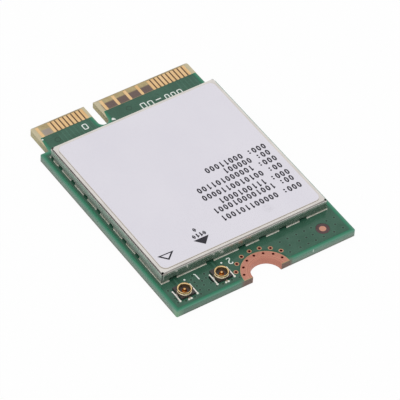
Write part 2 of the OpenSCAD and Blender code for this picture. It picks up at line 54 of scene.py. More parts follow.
def makeCamera():
    turn, lift, roll = (math.radians(cameraSet[k]) for k in ("azimuth", "elevation", "roll"))
    back = Vector((math.sin(turn) * math.cos(lift), -math.cos(turn) * math.cos(lift), math.sin(lift)))
    right = Vector((math.cos(turn), math.sin(turn), 0))
    up = back.cross(right)
    across = right * math.cos(roll) + up * math.sin(roll)
    upright = up * math.cos(roll) - right * math.sin(roll)
    place = Matrix((across, upright, back)).transposed().to_4x4()
    place.translation = (Vector(cameraSet["aim"]) + back * cameraSet["distance"]) * mm
    data = bpy.data.cameras.new("photoCamera")
    data.sensor_width = cameraSet["sensor"]
    data.lens = cameraSet["lens"]
    data.clip_start, data.clip_end = cameraSet["clip"]
    eye = bpy.data.objects.new("photoCamera", data)
    eye.matrix_world = place
    scene.collection.objects.link(eye)
    scene.camera = eye


makeCamera()
print("camera placed")


# small helpers for shader trees
def addNode(tree, kind, **settings):
    node = tree.nodes.new(kind)
    for key, value in settings.items():
        setattr(node, key, value)
    return node


def feed(tree, socket, value):
    if isinstance(value, bpy.types.NodeSocket):
        tree.links.new(value, socket)
    else:
        socket.default_value = value


def maths(tree, operation, first, second=0.0, third=0.0, clamp=False):
    node = addNode(tree, "ShaderNodeMath", operation=operation, use_clamp=clamp)
    for socket, value in zip(node.inputs, (first, second, third)):
        feed(tree, socket, value)
    return node.outputs[0]


def times(tree, first, *others):
    for other in others:
        first = maths(tree, "MULTIPLY", first, other)
    return first


def remap(tree, value, fromLow, fromHigh, toLow=0.0, toHigh=1.0):
    node = addNode(tree, "ShaderNodeMapRange", interpolation_type="SMOOTHSTEP")
    for socket, number in zip(node.inputs, (value, fromLow, fromHigh, toLow, toHigh)):
        feed(tree, socket, number)
    return node.outputs[0]


def mixColour(tree, factor, first, second):
    node = addNode(tree, "ShaderNodeMix", data_type="RGBA")
    feed(tree, node.inputs[0], factor)
    feed(tree, node.inputs[6], first)
    feed(tree, node.inputs[7], second)
    return node.outputs[2]


def mixValue(tree, factor, first, second):
    node = addNode(tree, "ShaderNodeMix", data_type="FLOAT")
    feed(tree, node.inputs[0], factor)
    feed(tree, node.inputs[2], first)
    feed(tree, node.inputs[3], second)
    return node.outputs[0]


def axes(tree, vector):
    parts = addNode(tree, "ShaderNodeSeparateXYZ")
    feed(tree, parts.inputs[0], vector)
    return parts.outputs


def tint(red, green, blue):
    # a screen colour, 0 to 255, as the linear colour that shaders take
    parts = [v / 255 for v in (red, green, blue)]
    return tuple(v / 12.92 if v <= 0.04045 else ((v + 0.055) / 1.055) ** 2.4 for v in parts) + (1.0,)


def toned(tree, factor, dark, light):
    return mixColour(tree, factor, tint(*dark), tint(*light))


def newGroup(name, inputs, outputs):
    group = bpy.data.node_groups.new(name, "ShaderNodeTree")
    for label, value in inputs:
        kind = "NodeSocketVector" if isinstance(value, tuple) else "NodeSocketFloat"
        socket = group.interface.new_socket(name=label, in_out="INPUT", socket_type=kind)
        socket.default_value = value
    for label in outputs:
        group.interface.new_socket(name=label, in_out="OUTPUT", socket_type="NodeSocketFloat")
    return group, group.nodes.new("NodeGroupInput").outputs, group.nodes.new("NodeGroupOutput").inputs


def useGroup(tree, group, **values):
    node = addNode(tree, "ShaderNodeGroup", node_tree=group)
    for key, value in values.items():
        feed(tree, node.inputs[key], value)
    return node.outputs


# grain: a slow and a fine noise, as a tone for colour and roughness and a height for a bump
grainSet = {
    "fineShare": 0.4,
    "slowShare": 0.6,
    "fineDetail": 3.0,
    "slowDetail": 4.0,
    "toneSpan": (0.32, 0.68),
}


def buildGrain():
    start = [("Position", (0.0, 0.0, 0.0)), ("Stretch", (1.0, 1.0, 1.0)), ("Fine", 20.0), ("Slow", 1.0)]
    group, given, made = newGroup("surfaceGrain", start, ["Tone", "Height"])
    pulled = addNode(group, "ShaderNodeVectorMath", operation="MULTIPLY")
    feed(group, pulled.inputs[0], given["Position"])
    feed(group, pulled.inputs[1], given["Stretch"])
    fine = addNode(group, "ShaderNodeTexNoise", noise_dimensions="3D")
    slow = addNode(group, "ShaderNodeTexNoise", noise_dimensions="3D")
    for noise, scale, detail in ((fine, "Fine", "fineDetail"), (slow, "Slow", "slowDetail")):
        feed(group, noise.inputs["Vector"], pulled.outputs[0])
        feed(group, noise.inputs["Scale"], given[scale])
        feed(group, noise.inputs["Detail"], grainSet[detail])
    slowPart = times(group, slow.outputs[0], grainSet["slowShare"])
    both = maths(group, "MULTIPLY_ADD", fine.outputs[0], grainSet["fineShare"], slowPart)
    feed(group, made["Tone"], remap(group, both, *grainSet["toneSpan"]))
    feed(group, made["Height"], fine.outputs[0])
    return group


# specks: small scattered points, such as dust or pits, in the cells above a random threshold
speckThreshold = 0.72


def buildSpecks():
    start = [("Position", (0.0, 0.0, 0.0)), ("Scale", 4.0), ("Size", 0.12)]
    group, given, made = newGroup("specks", start, ["Mask"])
    cells = addNode(group, "ShaderNodeTexVoronoi", feature="F1")
    feed(group, cells.inputs["Vector"], given["Position"])
    feed(group, cells.inputs["Scale"], given["Scale"])
    pick = addNode(group, "ShaderNodeSeparateColor")
    feed(group, pick.inputs[0], cells.outputs["Color"])
    chosen = maths(group, "GREATER_THAN", pick.outputs[0], speckThreshold)
    near = maths(group, "LESS_THAN", cells.outputs["Distance"], given["Size"])
    feed(group, made["Mask"], times(group, chosen, near))
    return group


# a rounded rectangle on the board: how far a point lies inside it, and a soft mask
def buildField():
    start = [("Position", (0.0, 0.0, 0.0)), ("X", 0.0), ("Y", 0.0), ("Half Width", 1.0)]
    start += [("Half Length", 1.0), ("Corner", 0.1), ("Soft", 0.05)]
    group, given, made = newGroup("roundedField", start, ["Mask", "Inside"])
    across, along = axes(group, given["Position"])[:2]
    sides = []
    for place, centre, half in ((across, "X", "Half Width"), (along, "Y", "Half Length")):
        away = maths(group, "ABSOLUTE", maths(group, "SUBTRACT", place, given[centre]))
        reach = maths(group, "SUBTRACT", given[half], given["Corner"])
        sides.append(maths(group, "SUBTRACT", away, reach))
    outer = [maths(group, "MAXIMUM", side, 0.0) for side in sides]
    squares = [times(group, side, side) for side in outer]
    corner = maths(group, "SQRT", maths(group, "ADD", *squares))
    inner = maths(group, "MINIMUM", maths(group, "MAXIMUM", *sides), 0.0)
    inside = maths(group, "SUBTRACT", given["Corner"], maths(group, "ADD", corner, inner))
    feed(group, made["Inside"], inside)
    soft = maths(group, "DIVIDE", inside, given["Soft"])
    feed(group, made["Mask"], maths(group, "ADD", soft, 0.5, clamp=True))
    return group


# a disc on the board: distance from its middle, and a soft mask
def buildDisc():
    start = [("Position", (0.0, 0.0, 0.0)), ("X", 0.0), ("Y", 0.0), ("Radius", 1.0), ("Soft", 0.05)]
    group, given, made = newGroup("discField", start, ["Mask", "Distance"])
    middle = addNode(group, "ShaderNodeCombineXYZ")
    feed(group, middle.inputs[0], given["X"])
    feed(group, middle.inputs[1], given["Y"])
    flat = addNode(group, "ShaderNodeVectorMath", operation="MULTIPLY")
    feed(group, flat.inputs[0], given["Position"])
    flat.inputs[1].default_value = (1, 1, 0)
    length = addNode(group, "ShaderNodeVectorMath", operation="DISTANCE")
    feed(group, length.inputs[0], flat.outputs[0])
    feed(group, length.inputs[1], middle.outputs[0])
    inside = maths(group, "SUBTRACT", given["Radius"], length.outputs["Value"])
    soft = maths(group, "DIVIDE", inside, given["Soft"])
    feed(group, made["Distance"], length.outputs["Value"])
    feed(group, made["Mask"], maths(group, "ADD", soft, 0.5, clamp=True))
    return group


# holes spaced evenly along a circle round the screw: distance from the nearest one
def buildViaRing():
    start = [("Position", (0.0, 0.0, 0.0)), ("Radius", 3.0), ("First", 30.0), ("Step", 20.0), ("Last", 6.0)]
    group, given, made = newGroup("viaRing", start, ["Distance"])
    across, along = axes(group, given["Position"])[:2]
    reach = maths(group, "ADD", times(group, across, across), times(group, along, along))
    reach = maths(group, "SQRT", reach)
    turn = maths(group, "DEGREES", maths(group, "ARCTAN2", along, across))
    turn = maths(group, "SUBTRACT", turn, given["First"])
    place = maths(group, "ROUND", maths(group, "DIVIDE", turn, given["Step"]))
    place = maths(group, "MINIMUM", maths(group, "MAXIMUM", place, 0.0), given["Last"])
    off = maths(group, "RADIANS", maths(group, "SUBTRACT", turn, times(group, place, given["Step"])))
    out = maths(group, "SUBTRACT", times(group, reach, maths(group, "COSINE", off)), given["Radius"])
    aside = times(group, reach, maths(group, "SINE", off))
    squares = maths(group, "ADD", times(group, out, out), times(group, aside, aside))
    feed(group, made["Distance"], maths(group, "SQRT", squares))
    return group


grainGroup = buildGrain()
specksGroup = buildSpecks()
fieldGroup = buildField()
discGroup = buildDisc()
viaRingGroup = buildViaRing()


def roundedField(tree, spot, x, y, halfWidth, halfLength, corner, soft=0.05):
    sides = {"Half Width": halfWidth, "Half Length": halfLength, "Corner": corner, "Soft": soft}
    return useGroup(tree, fieldGroup, Position=spot, X=x, Y=y, **sides)


def disc(tree, spot, x, y, radius, soft=0.05):
    return useGroup(tree, discGroup, Position=spot, X=x, Y=y, Radius=radius, Soft=soft)


def emptyMaterial(name):
    material = bpy.data.materials.new(name)
    material.use_nodes = True
    material.node_tree.nodes.clear()
    return material, material.node_tree


# the start of every material: two tones, uneven roughness, a fine bump and specks
def startMaterial(name, look):
    material, tree = emptyMaterial(name)
    shader = tree.nodes.new("ShaderNodeBsdfPrincipled")
    surface = tree.nodes.new("ShaderNodeOutputMaterial")
    tree.links.new(shader.outputs[0], surface.inputs["Surface"])
    place = tree.nodes.new("ShaderNodeTexCoord")
    position = addNode(tree, "ShaderNodeVectorMath", operation="SCALE")
    feed(tree, position.inputs[0], place.outputs["Object"])
    position.inputs["Scale"].default_value = 1 / mm
    spot = position.outputs[0]
    grain = useGroup(
        tree,
        grainGroup,
        Position=spot,
        Stretch=look.get("stretch", (1, 1, 1)),
        Fine=look.get("fine", 20.0),
        Slow=look.get("slow", 1.0),
    )
    colour = toned(tree, grain["Tone"], look["dark"], look["light"])
    if "speckColour" in look:
        size = look.get("speckSize", 0.12)
        specks = useGroup(tree, specksGroup, Position=spot, Scale=look.get("speckScale", 3.0), Size=size)
        amount = times(tree, specks["Mask"], look.get("speckAmount", 0.5))
        colour = mixColour(tree, amount, colour, tint(*look["speckColour"]))
    feed(tree, shader.inputs["Base Color"], colour)
    smooth, rough = look["rough"]
    feed(tree, shader.inputs["Roughness"], mixValue(tree, grain["Tone"], smooth, rough))
    shader.inputs["Metallic"].default_value = look.get("metal", 0.0)
    shader.inputs["Specular IOR Level"].default_value = look.get("gloss", 0.5)
    bump = addNode(tree, "ShaderNodeBump")
    bump.inputs["Strength"].default_value = look.get("bump", 0.3)
    bump.inputs["Distance"].default_value = look.get("relief", 0.004) * mm
    feed(tree, bump.inputs["Height"], grain["Height"])
    feed(tree, shader.inputs["Normal"], bump.outputs[0])
    return material, tree, shader, spot


def plainMaterial(name, look):
    return startMaterial(name, look)[0]


# a further coat where the mask is white: a screen colour, or a socket that varies
def coated(tree, under, mask, colour, show=1.0):
    if show < 1:
        mask = times(tree, mask, show)
    if not isinstance(colour, bpy.types.NodeSocket):
        colour = tint(*colour)
    return mixColour(tree, mask, under, colour)


# a coat that fades in along a value: its colour, how much of it, where it starts and where it is full
def faded(tree, under, along, coat, within=None):
    colour, show, start, full = coat
    mask = remap(tree, along, start, full)
    if within is not None:
        mask = times(tree, mask, within)
    return coated(tree, under, mask, colour, show)


def paintOver(tree, shader, mask, colour, show=1.0):
    socket = shader.inputs["Base Color"]
    feed(tree, socket, coated(tree, socket.links[0].from_socket, mask, colour, show))


def paintFade(tree, shader, along, coat, within=None):
    socket = shader.inputs["Base Color"]
    feed(tree, socket, faded(tree, socket.links[0].from_socket, along, coat, within))


# how far a face points up where it starts to count as a wall, and where it is one
wallSlope = (0.8, 0.3)


def steepness(tree):
    # 0 on flat faces, 1 on walls
    up = axes(tree, tree.nodes.new("ShaderNodeNewGeometry").outputs["Normal"])[2]
    return remap(tree, maths(tree, "ABSOLUTE", up), *wallSlope)


def dress(material, *names):
    for name in names:
        for place in nodes[name].material_slots:
            place.material = material


print("shader groups built")

# board: laminate with its inner copper, then the solder mask and copper under it as thin layers
board = {
    "width": 22.0,
    "length": 26.15,
    "corner": 0.15,
    "top": 0.8,
    "tip": 30.0,
    "tabHalf": 9.925,
    "tabCorner": 0.3,
    "keyX": -2.625,
    "keyY": 27.1,
    "keyHalf": 0.6,
    "contactStep": 0.25,
    "middleContact": 38,
    "fiducial": (8.23, 1.95),
    "fiducialRing": 0.74,
}
laminate = {
    "dark": (156, 138, 96),
    "light": (182, 166, 124),
    "rough": (0.38, 0.6),
    "fine": 14.0,
    "slow": 2.0,
    "stretch": (1, 1, 4),
    "bump": 0.5,
    "gloss": 0.4,
    "speckColour": (120, 112, 84),
    "speckScale": 2.5,
    # coats that fade in: colour, how much of it, where it starts and where it is full
    "nearSideGlow": ((202, 194, 166), 0.7, 1.5, 0.1),
    "tabStart": (26.4, 27.4),
    "bevel": ((132, 116, 122), 0.55, 29.88, 29.96),
    # inner copper between the contacts: middle x and y, half width and length, corner, colour, how much
    "inner": (
        (1.55, 28.74, 3.05, 0.5, 0.08, (92, 74, 74), 0.92),
        (-5.75, 29.02, 2.0, 0.78, 0.08, (70, 44, 26), 0.92),
        (7.0, 29.02, 2.3, 0.78, 0.08, (70, 44, 26), 0.92),
        (-8.5, 28.72, 0.5, 0.44, 0.1, (150, 140, 136), 0.8),
    ),
    "innerSoft": 0.2,
    "moat": (78, 56, 58),
    "moatWidth": 0.1,
}
routed = {
    "fibres": {"Stretch": (0.4, 0.4, 9.0), "Fine": 3.0, "Slow": 1.0},
    "green": ((104, 134, 120), (126, 150, 134)),
    "tan": ((176, 166, 124), (192, 182, 142)),
    "tanStart": (26.0, 26.5),
    "frontFace": (0.3, 0.05),
    # coats that fade in: colour, how much of it, where it starts and where it is full
    "glow": ((74, 138, 112), 0.7, 0.45, 0.78),
    "foot": ((118, 112, 102), 0.7, 0.3, 0.05),
    "shade": ((66, 98, 82), 0.45, 3.0, -5.0),
    "byPad": ((116, 92, 82), 1.0, 3.3, 2.7),
    "towardsBody": ((126, 132, 100), 0.6, 29.0, 26.6),
    # painted light at the left corner: x, y, radius and soft edge
    "leftCornerLight": (-11.0, 0.0, 0.5, 0.9),
    "leftCornerLightColour": (132, 178, 142),
    "leftCornerLightShow": 0.75,
    # small light chip in the screw edge
    "chipX": 5.72,
    "chipHalf": 0.06,
    "chipHeight": (0.4, 0.5),
    "chipColour": (206, 216, 206),
    "chipShow": 0.8,
}


# routed walls: fibres lie along the edge in layers, green at the body and tan at the tab
def routedWall(tree, spot, x, y, z):
    tone = useGroup(tree, grainGroup, Position=spot, **routed["fibres"])["Tone"]
    green = toned(tree, tone, *routed["green"])
    # painted glow: the wall is greener towards its top
    green = faded(tree, green, z, routed["glow"])
    green = faded(tree, green, z, routed["foot"])
    front = remap(tree, y, *routed["frontFace"])
    green = faded(tree, green, x, routed["shade"], front)
    # painted light on the wall at the left front corner
    corner = disc(tree, spot, *routed["leftCornerLight"])["Mask"]
    green = coated(tree, green, corner, routed["leftCornerLightColour"], routed["leftCornerLightShow"])
    fromChip = maths(tree, "ABSOLUTE", maths(tree, "SUBTRACT", x, routed["chipX"]))
    chip = maths(tree, "LESS_THAN", fromChip, routed["chipHalf"])
    chip = times(tree, chip, front, remap(tree, z, *routed["chipHeight"]))
    green = coated(tree, green, chip, routed["chipColour"], routed["chipShow"])
    green = faded(tree, green, maths(tree, "ABSOLUTE", x), routed["byPad"], front)
    tan = faded(tree, toned(tree, tone, *routed["tan"]), y, routed["towardsBody"])
    return mixColour(tree, remap(tree, y, *routed["tanStart"]), green, tan)


def makeLaminate():
    material, tree, shader, spot = startMaterial("glassEpoxy", laminate)
    x, y, z = axes(tree, spot)
    # painted glow: bare laminate is lighter near the sides of the tab and of the key notch, where light
    # comes through it
    fromSide = maths(tree, "SUBTRACT", board["tabHalf"], maths(tree, "ABSOLUTE", x))
    fromKey = maths(tree, "ABSOLUTE", maths(tree, "SUBTRACT", x, board["keyX"]))
    fromKey = maths(tree, "SUBTRACT", fromKey, board["keyHalf"])
    nearest = maths(tree, "MINIMUM", fromSide, fromKey)
    paintFade(tree, shader, nearest, laminate["nearSideGlow"], remap(tree, y, *laminate["tabStart"]))
    for *place, colour, show in laminate["inner"]:
        band = roundedField(tree, spot, *place, laminate["innerSoft"])
        paintOver(tree, shader, band["Mask"], colour, show)
    # painted shade along the bevel at the tab's tip
    paintFade(tree, shader, y, laminate["bevel"])
    moat = disc(tree, spot, *board["fiducial"], board["fiducialRing"] + laminate["moatWidth"])
    paintOver(tree, shader, moat["Mask"], laminate["moat"])
    paintOver(tree, shader, steepness(tree), routedWall(tree, spot, x, y, z))
    return material


dress(makeLaminate(), "circuit_board")

# solder mask over bare laminate: its own brighter green in the margin, with a painted glow that lightens it
# towards every edge
maskGreen = {
    "dark": (36, 74, 56),
    "light": (44, 84, 66),
    "rough": (0.12, 0.22),
    "fine": 9.0,
    "slow": 1.5,
    "bump": 0.25,
    "gloss": 0.35,
    "speckColour": (70, 120, 98),
    "speckScale": 2.0,
    "tabReach": 4.0,
    "keyReach": 3.0,
    # distance from the nearest edge, and the green there
    "edge": (
        (0.0, (88, 136, 116)),
        (0.1, (74, 134, 110)),
        (0.24, (42, 120, 90)),
        (0.42, (34, 104, 78)),
        (0.8, (34, 78, 58)),
    ),
    "edgeFade": (0.85, 0.6),
    # worn spots at both ends of the half hole: how far aside, radius and soft edge
    "worn": (2.95, 0.22, 0.5),
    "wornColour": (104, 100, 88),
    "wornShow": 0.75,
}


def makeMaskGreen(name):
    material, tree, shader, spot = startMaterial(name, maskGreen)
    half, tabReach, keyReach = board["length"] / 2, maskGreen["tabReach"], maskGreen["keyReach"]
    body = roundedField(tree, spot, 0.0, half, board["width"] / 2, half, board["corner"])
    tabMiddle = board["tip"] - tabReach
    tab = roundedField(tree, spot, 0.0, tabMiddle, board["tabHalf"], tabReach, board["tabCorner"])
    keyX, keyHalf = board["keyX"], board["keyHalf"]
    key = roundedField(tree, spot, keyX, board["keyY"] - keyHalf + keyReach, keyHalf, keyReach, keyHalf)
    inside = maths(tree, "MAXIMUM", body["Inside"], tab["Inside"])
    inside = maths(tree, "MINIMUM", inside, times(tree, key["Inside"], -1.0))
    # painted glow: the green lightens towards the nearest edge
    ramp = addNode(tree, "ShaderNodeValToRGB")
    feed(tree, ramp.inputs[0], inside)
    stops = ramp.color_ramp.elements
    stops.remove(stops[1])
    stops[0].color = tint(*maskGreen["edge"][0][1])
    for place, colour in maskGreen["edge"][1:]:
        stops.new(place).color = tint(*colour)
    paintOver(tree, shader, remap(tree, inside, *maskGreen["edgeFade"]), ramp.outputs[0])
    aside, radius, soft = maskGreen["worn"]
    for side in (-aside, aside):
        worn = disc(tree, spot, side, 0.0, radius, soft)
        paintOver(tree, shader, worn["Mask"], maskGreen["wornColour"], maskGreen["wornShow"])
    return material


pourLook = {
    "dark": (44, 84, 66),
    "light": (56, 96, 78),
    "rough": (0.12, 0.2),
    "fine": 7.0,
    "slow": 0.8,
    "bump": 0.25,
    "gloss": 0.35,
    "speckColour": (48, 84, 68),
    "speckScale": 2.2,
    "speckAmount": 0.6,
}
traceLook = dict(pourLook, dark=(52, 94, 76), light=(64, 106, 88))
viaHaloLook = dict(pourLook, dark=(58, 98, 80), light=(70, 108, 90))
viaDimpleLook = dict(pourLook, dark=(26, 50, 38), light=(36, 64, 50), rough=(0.2, 0.3))
filledLook = dict(pourLook, dark=(36, 70, 54), light=(44, 82, 64))
silkLook = {
    "dark": (206, 214, 206),
    "light": (236, 240, 236),
    "rough": (0.45, 0.65),
    "fine": 16.0,
    "bump": 0.5,
}

pourGreen = plainMaterial("maskOverCopper", pourLook)
traceGreen = plainMaterial("maskOverTrace", traceLook)
haloGreen = plainMaterial("maskOverViaRing", viaHaloLook)
dimpleGreen = plainMaterial("maskInVia", viaDimpleLook)


# mesh tools: everything printed or plated on the board is a thin closed sheet
def placeMesh(name, bm, material):
    mesh = bpy.data.meshes.new(name)
    bm.to_mesh(mesh)
    bm.free()
    mesh.materials.append(material)
    piece = bpy.data.objects.new(name, mesh)
    scene.collection.objects.link(piece)
    return piece


def finishPiece(name, bm, material):
    bmesh.ops.recalc_face_normals(bm, faces=bm.faces)
    piece = placeMesh(name, bm, material)
    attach(piece, "root")


def triangles(loops):
    return tessellate_polygon([[Vector((x, y, 0)) for x, y in loop] for loop in loops])


def addSheet(bm, outline, holes, low, high):
    loops = [outline] + holes
    flat = [point for loop in loops for point in loop]
    lower = [bm.verts.new((x * mm, y * mm, low * mm)) for x, y in flat]
    upper = [bm.verts.new((x * mm, y * mm, high * mm)) for x, y in flat]
    for a, b, c in triangles(loops):
        bm.faces.new((upper[a], upper[b], upper[c]))
        bm.faces.new((lower[c], lower[b], lower[a]))
    start = 0
    for loop in loops:
        count = len(loop)
        for i in range(count):
            a, b = start + i, start + (i + 1) % count
            bm.faces.new((lower[a], lower[b], upper[b], upper[a]))
        start += count


def arc(x, y, radius, fromAngle, toAngle, steps):
    angles = [math.radians(fromAngle + (toAngle - fromAngle) * i / steps) for i in range(steps + 1)]
    return [(x + radius * math.cos(a), y + radius * math.sin(a)) for a in angles]


def circle(x, y, radius, steps=20):
    return arc(x, y, radius, 0, 360, steps)[:-1]


def rectangle(x1, y1, x2, y2, radius=0.0):
    if radius <= 0:
        return [(x1, y1), (x2, y1), (x2, y2), (x1, y2)]
    corners = ((x2 - radius, y1 + radius, -90), (x2 - radius, y2 - radius, 0))
    corners += ((x1 + radius, y2 - radius, 90), (x1 + radius, y1 + radius, 180))
    return [point for x, y, angle in corners for point in arc(x, y, radius, angle, angle + 90, steps=4)]


def strip(points, width):
    # the outline of a line of that width through the points
    left, right = [], []
    for i, (x, y) in enumerate(points):
        before, after = points[max(i - 1, 0)], points[min(i + 1, len(points) - 1)]
        along = Vector((after[0] - before[0], after[1] - before[1])).normalized()
        side = Vector((-along.y, along.x)) * width / 2
        left.append((x + side.x, y + side.y))
        right.append((x - side.x, y - side.y))
    return right + left[::-1]


coats = {
    "maskTop": 0.812,
    "pourTop": 0.819,
    "markTop": 0.821,
    "viaTop": 0.822,
    "traceTop": 0.824,
    "inkTop": 0.83,
    "maskUnder": -0.003,
    "pourUnder": -0.005,
    "padTraceUnder": -0.0055,
    "viaUnder": -0.0059,
    "sunk": 0.002,  # how far a coat starts inside the one it lies on
    "markSunk": 0.001,
    "pourInset": 0.44,
    "pourGap": 0.02,
    "dotGap": 0.05,
    # where each coat ends on the tab, its radius round the pad, the slant of its corners at the tab's sides
    "maskTopEnd": (28.21, 2.79, 0.28),
    "pourTopEnd": (28.12, 2.95, 0.1),
    "maskUnderEnd": (27.72, 2.79, 0.26),
    "pourUnderEnd": (27.6, 2.95, 0.1),
    "shoulder": 0.3,
    "keyGap": 0.01,
    "sideSlant": 0.2,  # shares of the slant at the other corners
    "keySlant": 0.9,
}
vias = {
    # radius, first and last angle, count
    "outer": (3.22, 30, 152, 7),
    "inner": (2.47, 18, 162, 7),
    "shade": (0.17, 0.14),
    "shadeColour": (128, 36, 28),
    "shadeShow": 0.85,
    "opening": 0.27,
    "tentedRing": 0.2,
    "tentedDimple": 0.125,
    "tentedSteps": 14,
    "tentedSink": 3,  # a filled via's ring is this many times as high as its dimple is deep
}


def coatOutline(inset, tabEnd, padRadius, wedge):
    # the board's outline as a coat follows it, held back round the pad, the tab's sides and the key notch
    half = board["width"] / 2 - inset
    end = board["length"] - inset
    corner = board["corner"]
    tab = board["tabHalf"] - inset
    narrow = wedge * coats["sideSlant"]
    shoulder = end + coats["shoulder"]
    key, keyRadius = board["keyX"], board["keyHalf"] + inset + coats["keyGap"]
    pad = math.degrees(math.acos(min(1, inset / padRadius)))
    points = arc(0, 0, padRadius, 90 + pad, 90 - pad, steps=40)
    points += arc(half - corner, inset + corner, corner, -90, 0, steps=6)
    points += arc(half - corner, end - corner, corner, 0, 90, steps=6)
    points += [(tab, end), (tab, shoulder), (tab - narrow, tabEnd)]
    points += [(key + keyRadius + wedge * coats["keySlant"], tabEnd)]
    points += arc(key, board["keyY"], keyRadius, 0, -180, steps=14)
    points += [(key - keyRadius - narrow, tabEnd)]
    points += [(wedge - tab, tabEnd), (-tab, shoulder), (-tab, end)]
    points += arc(corner - half, end - corner, corner, 90, 180, steps=6)
    points += arc(corner - half, inset + corner, corner, 180, 270, steps=6)
    return points


def viaOpenings(gap=0.0):
    radius, first, last, count = vias["outer"]
    return [circle(x, y, vias["opening"] + gap) for x, y in arc(0, 0, radius, first, last, count - 1)]


def contactX(contact):
    return (contact - board["middleContact"]) * board["contactStep"]


# vias filled over by the mask: a faint ring with a dark dimple
def tentedVias(name, places, low, high):
    rings, dimples = bmesh.new(), bmesh.new()
    steps = vias["tentedSteps"]
    for x, y in places:
        dimple = circle(x, y, vias["tentedDimple"], steps)
        addSheet(rings, circle(x, y, vias["tentedRing"], steps), [dimple], low, high)
        addSheet(dimples, dimple, [], low, high - (high - low) / vias["tentedSink"])
    finishPiece(name + "_rings", rings, haloGreen)
    finishPiece(name + "_dimples", dimples, dimpleGreen)


topSide = {
    # antenna lines: x, near and far end
    "antennaLines": ((-8.82, 3.08, 4.0), (-4.24, 3.12, 4.0)),
    "lineGap": 0.4,
    "lineCorner": 0.08,
    "lineHalf": 0.11,
    "contactLine": (25.6, 28.0),
    "contactLineHalf": 0.07,
    # numbers of the contacts, and the stretches of the tab where a trace leads from each
    "contacts": [*range(7, 24, 2), 33, 39, 45, 51, *range(57, 76, 2)],
    "linedContacts": ((-8.2, -3.0), (7.2, 10.0)),
    # filled vias: y of a row and the places along it
    "viaRows": (
        (2.65, (3.34, 4.3, 5.4, 6.38, 7.27, 9.19, 10.12)),
        (1.77, (3.98, 5.14, 6.06, 6.85, 9.69)),
        (0.95, (3.46, 4.75, 5.75, 6.68, 7.66, 8.97, 10.1)),
    ),
    # and the ones that stand alone
    "loneVias": (
        ((-10.18, 2.92), (-10.2, 1.01), (-10.17, 1.7), (-9.38, 0.82), (-8.31, 0.81), (-7.56, 0.83))
        + ((-7.34, 1.35), (-7.3, 1.96), (-7.24, 2.5), (-7.36, 2.97), (-6.97, 3.38), (-6.57, 0.87))
        + ((-6.62, 1.71), (-6.48, 2.28), (-5.91, 2.41), (-5.86, 1.57), (-5.77, 2.98), (-5.57, 0.91))
        + ((-4.89, 0.82), (-3.81, 0.81), (-2.94, 0.72))
    ),
    "tabHoles": ((-8.2, 27.12), (0.78, 27.25)),
    "tabHoleRing": (0.36, 0.25),
    "scratch": ([(4.3, 27.68), (4.5, 27.5), (4.62, 27.3)], 0.1),
}


def coatTopSide():
    coat = bmesh.new()
    dot, ring = board["fiducial"], board["fiducialRing"]
    openings = viaOpenings() + [circle(*dot, ring, steps=32)]
    addSheet(coat, coatOutline(0.0, *coats["maskTopEnd"]), openings, board["top"], coats["maskTop"])
    finishPiece("solder_mask_top", coat, makeMaskGreen("solderMask"))

    pour = bmesh.new()
    base = coats["maskTop"] - coats["sunk"]
    openings = viaOpenings(coats["pourGap"]) + [circle(*dot, ring + coats["dotGap"], steps=32)]
    gap, corner = topSide["lineGap"], topSide["lineCorner"]
    openings += [rectangle(x - gap, near, x + gap, far, corner) for x, near, far in topSide["antennaLines"]]
    addSheet(pour, coatOutline(coats["pourInset"], *coats["pourTopEnd"]), openings, base, coats["pourTop"])
    finishPiece("ground_plane_top", pour, pourGreen)

    lines = bmesh.new()
    half = topSide["lineHalf"]
    for x, near, far in topSide["antennaLines"]:
        line = rectangle(x - half, near - coats["pourGap"], x + half, far + coats["pourGap"])
        addSheet(lines, line, [], base, coats["pourTop"])
    near, far = topSide["contactLine"]
    half = topSide["contactLineHalf"]
    for x in (contactX(contact) for contact in topSide["contacts"]):
        if any(left < x < right for left, right in topSide["linedContacts"]):
            line = rectangle(x - half, near, x + half, far)
            addSheet(lines, line, [], coats["pourTop"] - coats["sunk"], coats["traceTop"])
    finishPiece("traces_top", lines, traceGreen)


# two larger filled holes on the tab, and a scratch-like mark
def fillTabHoles():
    filled = bmesh.new()
    base = coats["pourTop"] - coats["markSunk"]
    outer, inner = topSide["tabHoleRing"]
    for x, y in topSide["tabHoles"]:
        hole = circle(x, y, inner, steps=24)
        addSheet(filled, circle(x, y, outer, steps=24), [hole], base, coats["markTop"])
    addSheet(filled, strip(*topSide["scratch"]), [], base, coats["markTop"])
    finishPiece("tented_holes_tab", filled, plainMaterial("maskInHole", filledLook))


coatTopSide()
topVias = [(x, y) for y, places in topSide["viaRows"] for x in places] + list(topSide["loneVias"])
tentedVias("tented_vias_top", topVias, coats["pourTop"], coats["viaTop"])
fillTabHoles()
print("board coats made")

# white legend: a one and a two by the sockets, marks, and hollow noughts on the tab
legendSet = {
    "one": ([(-6.75, 3.5), (-6.61, 3.36), (-6.59, 2.6)], 0.13),
    "two": (
        [(-2.755, 3.5), (-2.57, 3.56), (-2.385, 3.52), (-2.4, 3.33), (-2.6, 3.16), (-2.74, 2.98)]
        + [(-2.7, 2.78), (-2.52, 2.7), (-2.317, 2.84)],
        0.12,
    ),
    "dots": ((-9.6, 27.92), (-7.94, 3.31), (-3.42, 3.33)),
    "dotRadius": 0.11,
    # left, near, right and far side
    "noughts": (
        (-5.0, 26.85, -4.4, 27.7),
        (2.0, 26.3, 2.64, 27.2),
        (2.86, 26.2, 3.5, 27.1),
        (4.98, 26.2, 5.5, 27.0),
        (5.72, 26.2, 6.28, 26.95),
        (6.5, 26.2, 7.1, 26.95),
    ),
    "noughtLine": 0.12,
    "noughtCorners": (0.18, 0.08),
    "dash": (3.86, 26.72, 4.56, 26.86, 0.05),
    "fleck": [(-1.8, 26.62), (-1.3, 26.5), (-1.42, 26.85), (-1.6, 26.92)],
}


